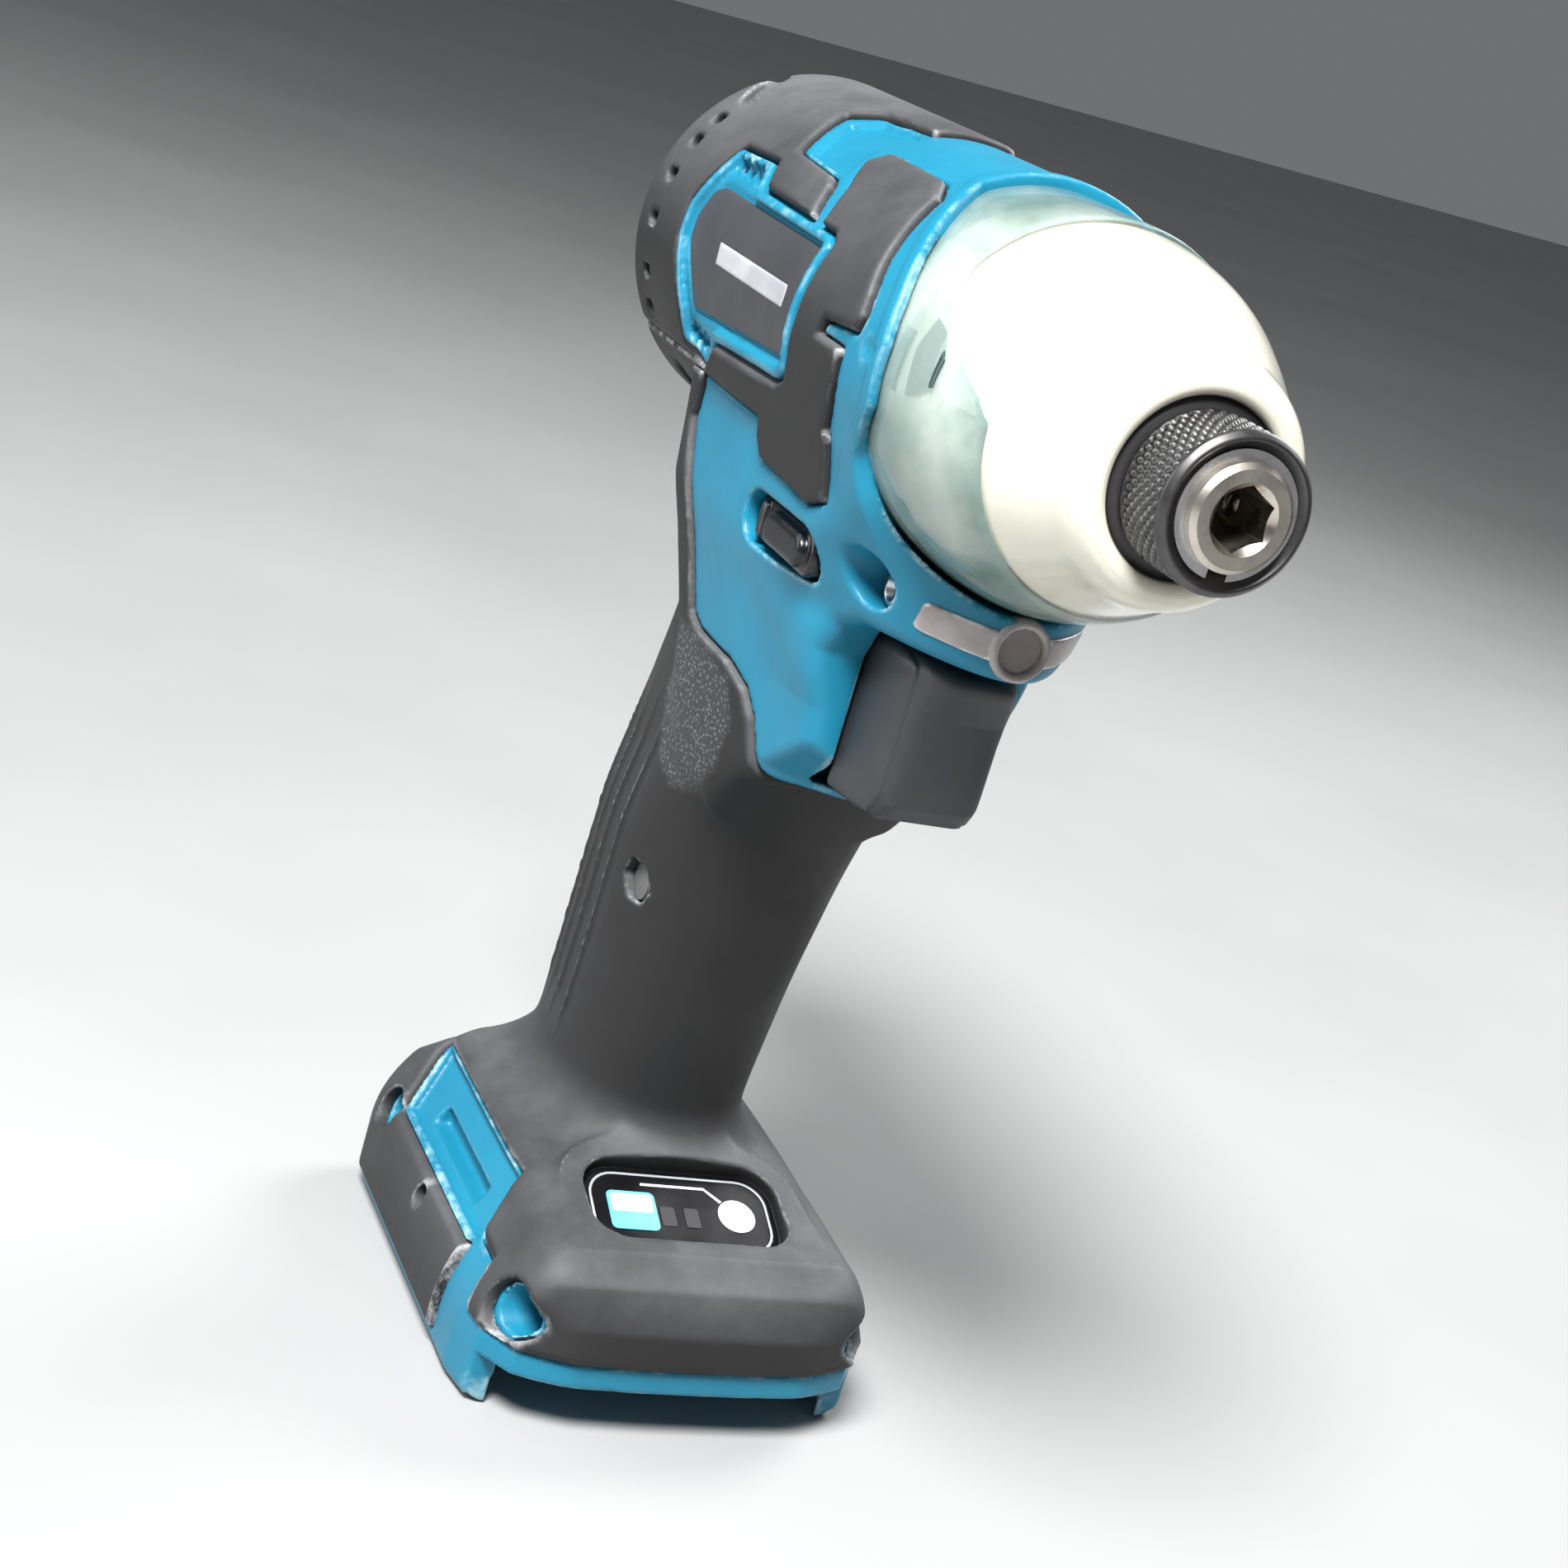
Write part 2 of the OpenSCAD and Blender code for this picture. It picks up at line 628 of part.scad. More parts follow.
// Plan of the trigger with its rounded front corners
module trigger_plan() {
    front = 97;
    round = 4.2;
    translate([trigger_back - 1, -trigger_half])
        square([front - round - trigger_back + 1, 2 * trigger_half]);
    translate([trigger_back - 1, round - trigger_half])
        square([front - trigger_back + 1, 2 * (trigger_half - round)]);
    for (s = [-1, 1]) translate([front - round, s * (trigger_half - round)]) circle(round);
}

module trigger() place() color("darkslategray") difference() {
    intersection() {
        translate([0, 20, 0]) rotate([90, 0, 0]) linear_extrude(40) trigger_side();
        translate([0, 0, 90]) linear_extrude(40) trigger_plan();
    }
    translate([trigger_back - 1, 0, rod_z]) rotate([0, 90, 0]) cylinder(h = 5, r = rod_r);
}

module trigger_rod() place() color("silver") translate([64, 0, rod_z]) rotate([0, 90, 0])
    cylinder(h = trigger_back + 4 - 64, r = rod_r);

module trigger_spring() place() color("silver") translate([0, 0, rod_z - axis_height])
    coil(switch_x + switch_len + 0.05, trigger_back - switch_x - switch_len - 0.1, 3.4, 0.4, 4, 12);

module switch_body() place() color("darkslategray") difference() {
    block(switch_x, switch_x + switch_len, 9.4, switch_low, switch_high);
    translate([57.6, 0, rod_z]) rotate([0, 90, 0]) cylinder(h = 20, r = rod_r + 0.08);
}

module direction_lever() place() color("black") translate([lever_x, -lever_half, lever_z])
    rotate([-90, 0, 0]) slot_shape(lever_half_len, lever_half_h, 2 * lever_half);

module led_lens() place() color("lightgray", 0.7)
    on_axis(lamp_x + 1.3) translate([axis_height - lamp_z, 0, 0]) cylinder(h = 5.2, r = lamp_r);

module led_board() place() color("green")
    translate([lamp_x, -3.6, lamp_z - 2.8]) cube([1.2, 7.2, 5.6]);

module control_panel() place() color("black") on_panel() translate([0, 0, -panel_thick])
    difference() {
        panel_shape(0, panel_thick);
        translate([0, mode_y, -1]) cylinder(h = 4, r = mode_r + 0.12);
    }

module mode_button() place() color("white") on_panel() translate([0, mode_y, -panel_thick - 0.4])
    cylinder(h = panel_thick + 0.6, r = mode_r);

module panel_board() place() color("green") on_panel() translate([0, 0, -4])
    panel_shape(-2.4, 1.2);

module terminal_block() place() color("black") difference() {
    block(20.3, 47.7, 15, 1.2, bay_height + 2);
    for (y = [-10, -4, 4, 10]) translate([28, y - 1.2, 0]) cube([30, 2.4, bay_height - 1]);
}

module terminals() place() color("gold") for (y = [-10, -4, 4, 10])
    translate([28.02, y - 0.4, 1.8]) cube([16, 0.8, bay_height - 2.82]);

module battery_leads() place() color("red") for (s = [-1, 1])
    swept([for (p = lead_route) [p[0], s * 4, p[1]]], 1.1, 8);

module housing_screws() place() color("silver") for (s = screws) {
    across(s[0], s[1], -s[2] - screw_head_len, -s[2], screw_head_r);
    across(s[0], s[1], -s[2] - 0.5, min(s[2] - 1.2, screw_len - s[2]), screw_r);
}

module hook_nut() place() color("darkgoldenrod") difference() {
    across(hook_x, hook_z, -rail_half + 0.2, -22, 3.18);
    across(hook_x, hook_z, -rail_half - 1, -21, 1.65);
}

module grip_plug() place() color("gray") across(
    screws[3][0], screws[3][1], -13.4, -screws[3][2] - screw_head_len - 0.2, 2.6);

// ---------- which node to draw ----------
housing_right();
housing_left();
grip_right();
grip_left();
head_bumper_right();
head_bumper_left();
name_plate();
hammer_case();
nose_cover();
clear_cover();
anvil_bush();
ring_gear();
gear_plate();
spindle_bearing();
front_bearing();
rear_bearing();
motor_can();
field_magnets();
brush_holder();
carbon_brushes();
switch_body();
led_lens();
led_board();
control_panel();
panel_board();
terminal_block();
terminals();
battery_leads();
housing_screws();
case_screws();
hook_nut();
grip_plug();
trigger();
trigger_rod();
trigger_spring();
direction_lever();
mode_button();
spindle();
planet_pins();
planet_gear_1();
planet_gear_2();
planet_gear_3();
spring_washer();
hammer_spring();
cam_balls();
hammer();
anvil();
detent_balls();
sleeve_spring();
sleeve_washer();
retaining_ring();
bit_sleeve();
armature_core();
commutator();
motor_shaft();
pinion();
cooling_fan();
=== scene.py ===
import math

import bmesh
import bpy
import numpy as np
from mathutils import Matrix, Vector


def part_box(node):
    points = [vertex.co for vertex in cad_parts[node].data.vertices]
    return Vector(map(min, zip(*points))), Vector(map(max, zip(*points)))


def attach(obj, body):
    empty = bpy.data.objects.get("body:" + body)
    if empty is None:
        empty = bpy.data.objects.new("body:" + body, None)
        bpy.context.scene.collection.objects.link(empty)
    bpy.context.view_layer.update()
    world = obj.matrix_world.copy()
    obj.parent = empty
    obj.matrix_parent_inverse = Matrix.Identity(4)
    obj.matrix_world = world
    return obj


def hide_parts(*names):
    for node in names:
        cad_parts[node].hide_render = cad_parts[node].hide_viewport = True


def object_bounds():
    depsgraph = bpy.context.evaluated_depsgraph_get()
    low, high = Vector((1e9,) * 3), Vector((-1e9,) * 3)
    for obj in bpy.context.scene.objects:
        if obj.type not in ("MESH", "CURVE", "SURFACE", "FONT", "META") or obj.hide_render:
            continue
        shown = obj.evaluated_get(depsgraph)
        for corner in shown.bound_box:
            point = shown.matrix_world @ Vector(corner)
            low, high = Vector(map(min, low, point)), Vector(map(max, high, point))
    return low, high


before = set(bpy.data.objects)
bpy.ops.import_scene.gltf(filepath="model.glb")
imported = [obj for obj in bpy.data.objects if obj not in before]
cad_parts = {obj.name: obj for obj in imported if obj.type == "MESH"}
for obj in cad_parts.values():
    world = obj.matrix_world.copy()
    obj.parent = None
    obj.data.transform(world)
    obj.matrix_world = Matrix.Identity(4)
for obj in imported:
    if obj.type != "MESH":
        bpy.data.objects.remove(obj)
cad_low, cad_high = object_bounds()

# Sizes are in millimetres in the tool's own axes: x from the rear of the head to the nose,
# v outwards from the split plane on either side, and z up from the base.
MM = 0.001
REAR = cad_low.x / MM
AXIS = sum(corner.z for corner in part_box("motor_shaft")) / 2 / MM
PITCH = 0.46
HEAD_R = 23.8
RUBBER = 0.85            # how far the pads of the head stand proud
WALL = 2.6               # thickness of the shells
CASE_R = 21.4            # room for the gear and hammer case
LEVER_X, LEVER_Z = 68.5, 126.4
LAMP_Z = 125.4
BASE_WELL = (69.0, 16.2)
ROW = Matrix.Translation((REAR * MM, 0, 0)) @ Matrix.Scale(MM, 4)


# ---------- distance fields ----------
def soft_min(a, b, k):
    h = np.clip(0.5 + 0.5 * (b - a) / k, 0, 1)
    return b + (a - b) * h - k * h * (1 - h)


def soft_max(a, b, k):
    return -soft_min(-a, -b, k)


class Space:
    """A grid over one half of the tool, or over a small piece of it."""

    def __init__(self, low, high, pitch=PITCH):
        self.low, self.pitch = np.array(low, float), pitch
        axes = [np.arange(a, b + pitch, pitch, dtype=np.float32) for a, b in zip(low, high)]
        self.x = axes[0][:, None, None]
        self.v = axes[1][None, :, None]
        self.z = axes[2][None, None, :]
        self.radius = np.sqrt(self.v ** 2 + (self.z - AXIS) ** 2)
        self.angle = np.degrees(np.arctan2(np.abs(self.v), self.z - AXIS))

    def box(self, x0, x1, v0, v1, z0, z1, r=0.0):
        d = [np.abs(p - (a + b) / 2) - (b - a) / 2 + r for p, a, b in
             ((self.x, x0, x1), (self.v, v0, v1), (self.z, z0, z1))]
        inner = np.minimum(np.maximum(np.maximum(d[0], d[1]), d[2]), 0)
        return np.sqrt(sum(np.maximum(q, 0) ** 2 for q in d)) + inner - r

    def rod(self, x, z, r):
        """A round bar across the tool."""
        return np.sqrt((self.x - x) ** 2 + (self.z - z) ** 2) - r + 0 * self.v

    def side(self, points):
        """An outline in x and z, drawn through the whole width."""
        return outline(points, self.x[:, :, 0], self.z[:, 0, :])[:, None, :]

    def plan(self, points):
        return outline(points, self.x[:, :, 0], self.v[0, :, :].T)[:, :, None]

    def wrapped(self, points):
        """An outline in x and the angle round the drive axis, from 0 at the top of the head."""
        arc = math.radians(HEAD_R)
        angles = np.arange(-20.0, 190.0, 0.5)
        near = outline([(x, a * arc) for x, a in points], self.x[:, :, 0], angles[None, :] * arc)
        place = (self.angle[0] + 20.0) * 2
        i = np.clip(place.astype(int), 0, len(angles) - 2)
        t = place - i
        return near[:, i] * (1 - t) + near[:, i + 1] * t

    def slot_round(self, x0, x1, angle, half):
        """A round ended slot along x at an angle round the drive axis."""
        arc = math.radians(HEAD_R)
        dx = np.maximum(np.abs(self.x - (x0 + x1) / 2) - (x1 - x0) / 2 + half, 0)
        return np.sqrt(dx ** 2 + ((self.angle - angle) * arc) ** 2) - half


def outline(points, x, z):
    """Signed distance to a closed outline, negative inside."""
    best = np.full(np.broadcast(x, z).shape, 1e9)
    inside = np.zeros(best.shape, bool)
    for (ax, az), (bx, bz) in zip(points, points[1:] + points[:1]):
        ex, ez, wx, wz = bx - ax, bz - az, x - ax, z - az
        t = np.clip((wx * ex + wz * ez) / (ex * ex + ez * ez), 0, 1)
        best = np.minimum(best, (wx - ex * t) ** 2 + (wz - ez * t) ** 2)
        crosses = ((az <= z) & (bz > z)) | ((bz <= z) & (az > z))
        inside ^= crosses & (wx < ex * wz / (ez if ez else 1e-9))
    return (np.sqrt(best) * np.where(inside, -1, 1)).astype(np.float32)


def sample(field, points):
    """The field at points given in grid steps, by trilinear interpolation."""
    top = np.array(field.shape) - 1.001
    p = np.clip(points, 0, top)
    i = p.astype(int)
    t = p - i
    total = 0
    for corner in np.ndindex(2, 2, 2):
        weight = np.prod(np.where(corner, t, 1 - t), axis=1)
        total = total + weight * field[tuple((i + corner).T)]
    return total


def skin(field, halved=False):
    """Vertices in grid steps and quads of the surface where a field is zero."""
    sign = field < 0
    shape = np.array(field.shape) - 1
    corners = list(np.ndindex(2, 2, 2))
    count = np.zeros(shape, np.uint8)
    for i, j, k in corners:
        count += sign[i:shape[0] + i, j:shape[1] + j, k:shape[2] + k]
    cells = np.argwhere((count > 0) & (count < 8))
    values = np.stack([field[tuple((cells + c).T)] for c in corners], 1)
    total, hits = np.zeros((len(cells), 3)), np.zeros(len(cells))
    for a, ca in enumerate(corners):
        for b, cb in enumerate(corners):
            if b > a and sum(abs(p - q) for p, q in zip(ca, cb)) == 1:
                cross = (values[:, a] < 0) != (values[:, b] < 0)
                t = values[cross, a] / (values[cross, a] - values[cross, b])
                total[cross] += np.array(ca) + t[:, None] * (np.array(cb) - np.array(ca))
                hits[cross] += 1
    points = cells + total / hits[:, None]
    number = np.full(shape, -1, np.int64)
    number[tuple(cells.T)] = np.arange(len(cells))
    faces = []
    for axis in range(3):
        others = [a for a in range(3) if a != axis]
        first = np.take(sign, range(shape[axis]), axis)
        change = first != np.take(sign, range(1, shape[axis] + 1), axis)
        at = np.argwhere(change)
        keep = np.all((at[:, others] > 0) & (at[:, others] < shape[others]), axis=1)
        keep &= (at[:, 1] < shape[1]) if axis == 1 else True
        at = at[keep]
        step = np.eye(3, dtype=int)
        ring = [at, at - step[others[0]], at - step[others[0]] - step[others[1]],
                at - step[others[1]]]
        quads = np.stack([number[tuple(q.T)] for q in ring], 1)
        flip = first[tuple(at.T)] ^ (axis == 1)
        quads[~flip] = quads[~flip][:, ::-1]
        faces.append(quads)
    on_split = halved & (cells[:, 1] == 0)
    points, bend = settle(field, points, on_split)
    faces = np.concatenate(faces)
    if halved:
        faces = faces[~np.all(on_split[faces], axis=1)]
    return points, faces, bend


def settle(field, points, on_split):
    """Moves points onto the zero surface, and measures how sharply it bends at each."""
    for _ in range(2):
        points[on_split, 1] = 0.5
        slope = np.stack([sample(field, points + e) - sample(field, points - e)
                          for e in np.eye(3) * 0.5], 1)
        size = np.maximum((slope ** 2).sum(1), 0.04)
        move = sample(field, points)[:, None] * slope / size[:, None]
        points = points - np.clip(move, -0.45, 0.45)
        points[on_split, 1] = 0.5
    bend = sum(sample(field, points + e * s) for e in np.eye(3) * 2.0 for s in (-1, 1)) / 6
    return points, bend


# ---------- meshes ----------
def piece(name, verts, faces, node, body="tool", look=None, side=1, slot=None, edge=None):
    """A mesh in tool millimetres that stands for a CAD node. side is -1 on the right."""
    mesh = bpy.data.meshes.new(name)
    verts = np.asarray(verts, float) * (1, side, 1)
    faces = [tuple(f) for f in (faces if side > 0 else [f[::-1] for f in faces])]
    mesh.from_pydata(verts.tolist(), [], faces)
    mesh.transform(ROW)
    mesh.polygons.foreach_set("use_smooth", [True] * len(mesh.polygons))
    if edge is not None:
        mesh.attributes.new("edge", "FLOAT", "POINT").data.foreach_set(
            "value", np.asarray(edge, np.float32))
    rest = outline(THUMB_REST, verts[:, 0], verts[:, 2]) if "grip" in name else None
    if rest is not None:
        mesh.attributes.new("dots", "FLOAT", "POINT").data.foreach_set(
            "value", np.clip(-rest / 1.5, 0, 1).astype(np.float32))
    mesh.update()
    obj = bpy.data.objects.new(name, mesh)
    bpy.context.scene.collection.objects.link(obj)
    if look:
        mesh.materials.append(look)
    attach(obj, body)
    if node:
        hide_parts(*([node] if isinstance(node, str) else node))
    return obj


def sculpt(name, space, field, halved=False, **given):
    """A mesh of the surface where a field is zero; halved closes it on the split plane."""
    shape = np.broadcast(space.x, space.v, space.z).shape
    points, faces, bend = skin(np.broadcast_to(field, shape).astype(np.float32), halved)
    edge = np.clip(bend / space.pitch, -1, 1)
    made = piece(name, space.low + points * space.pitch, faces.tolist(), edge=edge, **given)
    if halved:
        close_split(made)
    return made


def close_split(obj):
    """Fills the open rims of a half on the split plane, with sharp edges round them."""
    bm = bmesh.new()
    bm.from_mesh(obj.data)
    rim = [e for e in bm.edges if e.is_boundary]
    for edge in rim:
        edge.smooth = False
    made = bmesh.ops.triangle_fill(bm, use_beauty=False, use_dissolve=False, edges=rim)
    for item in made["geom"]:
        if isinstance(item, bmesh.types.BMFace):
            item.smooth = False
    bm.to_mesh(obj.data)
    bm.free()


def around(n, steps):
    """The quads that join closed rings of n points into a closed ring of steps."""
    faces = []
    for s in range(steps):
        t = (s + 1) % steps
        for i in range(n):
            j = (i + 1) % n
            faces.append((s * n + i, s * n + j, t * n + j, t * n + i))
    return faces


def lathe(profile, steps):
    """A body turned about the drive axis from (x, radius) points."""
    verts = []
    for s in range(steps):
        a = 2 * math.pi * s / steps
        for x, r in profile:
            verts.append((x, r * math.sin(a), AXIS + r * math.cos(a)))
    return verts, around(len(profile), steps)


def smooth_profile(points, steps=6):
    """A rounder profile through the points, by Catmull-Rom."""
    out = []
    n = len(points)
    for i in range(n - 1):
        p = [np.array(points[max(min(i + k, n - 1), 0)], float) for k in (-1, 0, 1, 2)]
        for s in range(steps):
            t = s / steps
            out.append(tuple(0.5 * (2 * p[1] + (p[2] - p[0]) * t
                       + (2 * p[0] - 5 * p[1] + 4 * p[2] - p[3]) * t ** 2
                       + (3 * p[1] - p[0] - 3 * p[2] + p[3]) * t ** 3)))
    return out + [tuple(points[-1])]


# ---------- materials ----------
class Look:
    """A procedural material, built node by node."""

    def __init__(self, name):
        self.mat = bpy.data.materials.new(name)
        self.mat.use_nodes = True
        self.tree = self.mat.node_tree
        self.shader = self.tree.nodes["Principled BSDF"]
        self.coords = self.node("ShaderNodeTexCoord").outputs["Object"]

    def node(self, kind, **settings):
        made = self.tree.nodes.new(kind)
        for key, value in settings.items():
            setattr(made, key, value)
        return made

    def link(self, a, b):
        self.tree.links.new(a, b)

    def set(self, **values):
        for key, value in values.items():
            self.shader.inputs[key.replace("_", " ")].default_value = value
        return self

    def noise(self, scale, detail=4.0, rough=0.55, stretch=None):
        made = self.node("ShaderNodeTexNoise")
        made.inputs["Scale"].default_value = scale
        made.inputs["Detail"].default_value = detail
        made.inputs["Roughness"].default_value = rough
        source = self.coords
        if stretch:
            mapping = self.node("ShaderNodeMapping")
            mapping.inputs["Scale"].default_value = stretch
            self.link(self.coords, mapping.inputs["Vector"])
            source = mapping.outputs["Vector"]
        self.link(source, made.inputs["Vector"])
        return made.outputs["Fac"]

    def cells(self, scale):
        made = self.node("ShaderNodeTexVoronoi")
        made.inputs["Scale"].default_value = scale
        self.link(self.coords, made.inputs["Vector"])
        return made.outputs["Distance"]

    def edge(self):
        return self.node("ShaderNodeAttribute", attribute_name="edge").outputs["Fac"]

    def fit(self, value, low, high, out_low=0.0, out_high=1.0):
        made = self.node("ShaderNodeMapRange", clamp=True)
        self.link(value, made.inputs["Value"])
        for key, number in (("From Min", low), ("From Max", high),
                            ("To Min", out_low), ("To Max", out_high)):
            made.inputs[key].default_value = number
        return made.outputs["Result"]

    def math(self, operation, a, b):
        made = self.node("ShaderNodeMath", operation=operation)
        for socket, value in zip(made.inputs, (a, b)):
            if isinstance(value, (int, float)):
                socket.default_value = value
            else:
                self.link(value, socket)
        return made.outputs[0]

    def mix(self, factor, a, b):
        """Mixes two colours, each a tuple or a socket."""
        made = self.node("ShaderNodeMix", data_type="RGBA")
        self.link(factor, made.inputs["Factor"])
        for socket, value in ((made.inputs[6], a), (made.inputs[7], b)):
            if isinstance(value, tuple):
                socket.default_value = (*value, 1)
            else:
                self.link(value, socket)
        return made.outputs[2]

    def bump(self, height, strength, distance=0.0002, under=None):
        made = self.node("ShaderNodeBump")
        made.inputs["Strength"].default_value = strength
        made.inputs["Distance"].default_value = distance
        self.link(height, made.inputs["Height"])
        if under is not None:
            self.link(under, made.inputs["Normal"])
        return made.outputs["Normal"]

    def finish(self, colour=None, rough=None, normal=None):
        for value, socket in ((colour, "Base Color"), (rough, "Roughness"), (normal, "Normal")):
            if value is not None:
                self.link(value, self.shader.inputs[socket])
        return self.mat


def teal_plastic():
    """Glass filled nylon with a fine spark texture, scuffed pale on its edges."""
    m = Look("teal_shell")
    cloud = m.fit(m.noise(60, 5), 0.3, 0.7)
    base = m.mix(cloud, (0.006, 0.155, 0.255), (0.010, 0.19, 0.30))
    worn = m.math("MULTIPLY", m.fit(m.edge(), 0.3, 0.7), m.fit(m.noise(260, 6, 0.7), 0.44, 0.62))
    base = m.mix(worn, base, (0.36, 0.56, 0.60))
    scuff = m.fit(m.noise(38, 8, 0.75), 0.66, 0.74, 0, 0.22)
    base = m.mix(scuff, base, (0.30, 0.50, 0.56))
    grain = m.bump(m.noise(5200, 2), 0.10, 0.00005)
    m.set(Specular_IOR_Level=0.35)
    rough = m.fit(m.noise(90, 4), 0.3, 0.7, 0.36, 0.47)
    return m.finish(base, rough, grain)


def black_rubber():
    """Soft black elastomer, paler on upward faces (partly dust, partly painted light from above) and
    gone grey where it is rubbed.
    """
    m = Look("soft_grip")
    cloud = m.fit(m.noise(16, 7, 0.6), 0.3, 0.75)
    dark, pale = 0.007, 0.014
    base = m.mix(cloud, (dark, dark, dark * 1.1), (pale, pale, pale * 1.03))
    # Upward facing rubber is mixed paler: partly settled dust, partly painted light from the lamp
    # above.
    facing = m.node("ShaderNodeNewGeometry").outputs["Normal"]
    split = m.node("ShaderNodeSeparateXYZ")
    m.link(facing, split.inputs["Vector"])
    up = split.outputs["Z"]
    patchy = m.fit(m.noise(24, 8, 0.68), 0.34, 0.64, 0.25, 1)
    dust_and_top_light = m.math("MULTIPLY", m.fit(up, -0.1, 0.9), patchy)
    base = m.mix(dust_and_top_light, base, (0.10, 0.102, 0.108))
    worn = m.math("MULTIPLY", m.fit(m.edge(), 0.3, 0.6), m.fit(m.noise(420, 6, 0.75), 0.40, 0.62))
    base = m.mix(worn, base, (0.36, 0.37, 0.38))
    lines = m.fit(m.noise(70, 9, 0.8, (1, 1, 0.12)), 0.67, 0.72, 0, 0.35)
    base = m.mix(lines, base, (0.10, 0.10, 0.10))
    dots = m.node("ShaderNodeAttribute", attribute_name="dots").outputs["Fac"]
    speck = m.fit(m.cells(1500), 0.18, 0.46, 1, 0)
    pad = m.math("MULTIPLY", dots, m.math("ADD", m.math("MULTIPLY", speck, 0.6), 0.14))
    base = m.mix(pad, base, (0.17, 0.17, 0.175))
    fine = m.bump(m.noise(3400, 3), 0.22, 0.00006)
    fine = m.bump(m.math("MULTIPLY", dots, speck), 0.6, 0.0002, fine)
    m.set(Specular_IOR_Level=0.4)
    rough = m.fit(m.noise(50, 5), 0.3, 0.7, 0.52, 0.70)
    return m.finish(base, rough, fine)


def plain_plastic(name, low, high, rough=(0.35, 0.45), grain=0.1, coat=0.0, wear=None):
    m = Look(name)
    base = m.mix(m.fit(m.noise(80, 5), 0.3, 0.7), low, high)
    if wear:
        worn = m.math("MULTIPLY", m.fit(m.edge(), 0.16, 0.5),
                      m.fit(m.noise(300, 6, 0.7), 0.42, 0.6))
        base = m.mix(worn, base, wear)
    if coat:
        m.set(Coat_Weight=coat, Coat_Roughness=0.08)
    return m.finish(base, m.fit(m.noise(120, 4), 0.3, 0.7, *rough),
                    m.bump(m.noise(3800, 2), grain, 0.00005))


def metal(name, low, high, rough=(0.2, 0.34), turned=True, grain=0.15, wear=None):
    """Turned or ground metal with fine tool marks and stains."""
    m = Look(name)
    m.set(Metallic=1.0)
    base = m.mix(m.fit(m.noise(140, 6, 0.65), 0.32, 0.7), low, high)
    if wear:
        worn = m.math("MULTIPLY", m.fit(m.edge(), 0.1, 0.35), m.fit(m.noise(500, 5, 0.7), 0.4, 0.6))
        base = m.mix(worn, base, wear)
    marks = m.noise(900, 3, 0.6, (6, 0.25, 0.25) if turned else (0.3, 4, 4))
    return m.finish(base, m.fit(m.noise(260, 5), 0.3, 0.7, *rough), m.bump(marks, grain, 0.00004))


def clear_plastic(name, low, high):
    """Clear film, scratched and clouded in places."""
    m = Look(name)
    m.set(Coat_Weight=0.4)
    cloud = m.noise(60, 7, 0.6)
    base = m.mix(m.fit(cloud, 0.38, 0.62), low, high)
    scratch = m.fit(m.noise(90, 9, 0.8, (1, 0.2, 1)), 0.62, 0.7, 0, 0.25)
    alpha = m.math("ADD", m.fit(cloud, 0.35, 0.65, 0.62, 0.40), scratch)
    m.link(alpha, m.shader.inputs["Alpha"])
    return m.finish(base, m.fit(m.noise(240, 7, 0.8), 0.5, 0.72, 0.06, 0.3),
                    m.bump(m.noise(1200, 4), 0.04, 0.00004))


# Two tones, roughness, grain, and where given the gloss coat and the worn colour.
PLASTICS = {
    "cream_cover": ((0.68, 0.66, 0.54), (0.76, 0.74, 0.63), (0.10, 0.2), 0.03, 0.7),
    "blank_plate": ((0.030, 0.032, 0.036), (0.045, 0.047, 0.052), (0.4, 0.52), 0.05),
    "white_film": ((0.70, 0.72, 0.74), (0.80, 0.81, 0.82), (0.3, 0.4), 0.04),
    "strip_silver": ((0.30, 0.31, 0.33), (0.50, 0.51, 0.53), (0.25, 0.4), 0.05),
    "gloss_black": ((0.002, 0.002, 0.003), (0.004, 0.004, 0.005), (0.2, 0.32), 0.03, 0.0,
                    (0.14, 0.14, 0.15)),
    "black_plastic": ((0.012, 0.012, 0.013), (0.022, 0.022, 0.024), (0.4, 0.55), 0.12),
    "trigger_grey": ((0.018, 0.019, 0.022), (0.030, 0.031, 0.035), (0.42, 0.56), 0.16, 0.0,
                     (0.12, 0.12, 0.125)),
    "grey_plug": ((0.06, 0.06, 0.06), (0.10, 0.10, 0.10), (0.5, 0.65), 0.15),
    "magnet": ((0.03, 0.03, 0.032), (0.05, 0.05, 0.052), (0.5, 0.65), 0.2),
    "carbon": ((0.01, 0.01, 0.01), (0.02, 0.02, 0.02), (0.45, 0.6), 0.1),
    "brown_plastic": ((0.06, 0.022, 0.012), (0.085, 0.03, 0.018), (0.35, 0.5)),
    "board": ((0.006, 0.07, 0.025), (0.01, 0.09, 0.035), (0.25, 0.4), 0.08),
    "red_wire": ((0.28, 0.01, 0.008), (0.36, 0.015, 0.01), (0.35, 0.5), 0.06),
    "fan_plastic": ((0.55, 0.55, 0.53), (0.66, 0.66, 0.64), (0.35, 0.5), 0.08),
    "tile_blue": ((0.10, 0.45, 0.62), (0.14, 0.52, 0.70), (0.3, 0.4), 0.04),
    "window_green": ((0.006, 0.02, 0.018), (0.05, 0.09, 0.08), (0.1, 0.2), 0.05, 0.6),
    "lamp_frame": ((0.20, 0.17, 0.16), (0.42, 0.40, 0.39), (0.2, 0.35), 0.06, 0.0,
                   (0.85, 0.85, 0.85)),
}
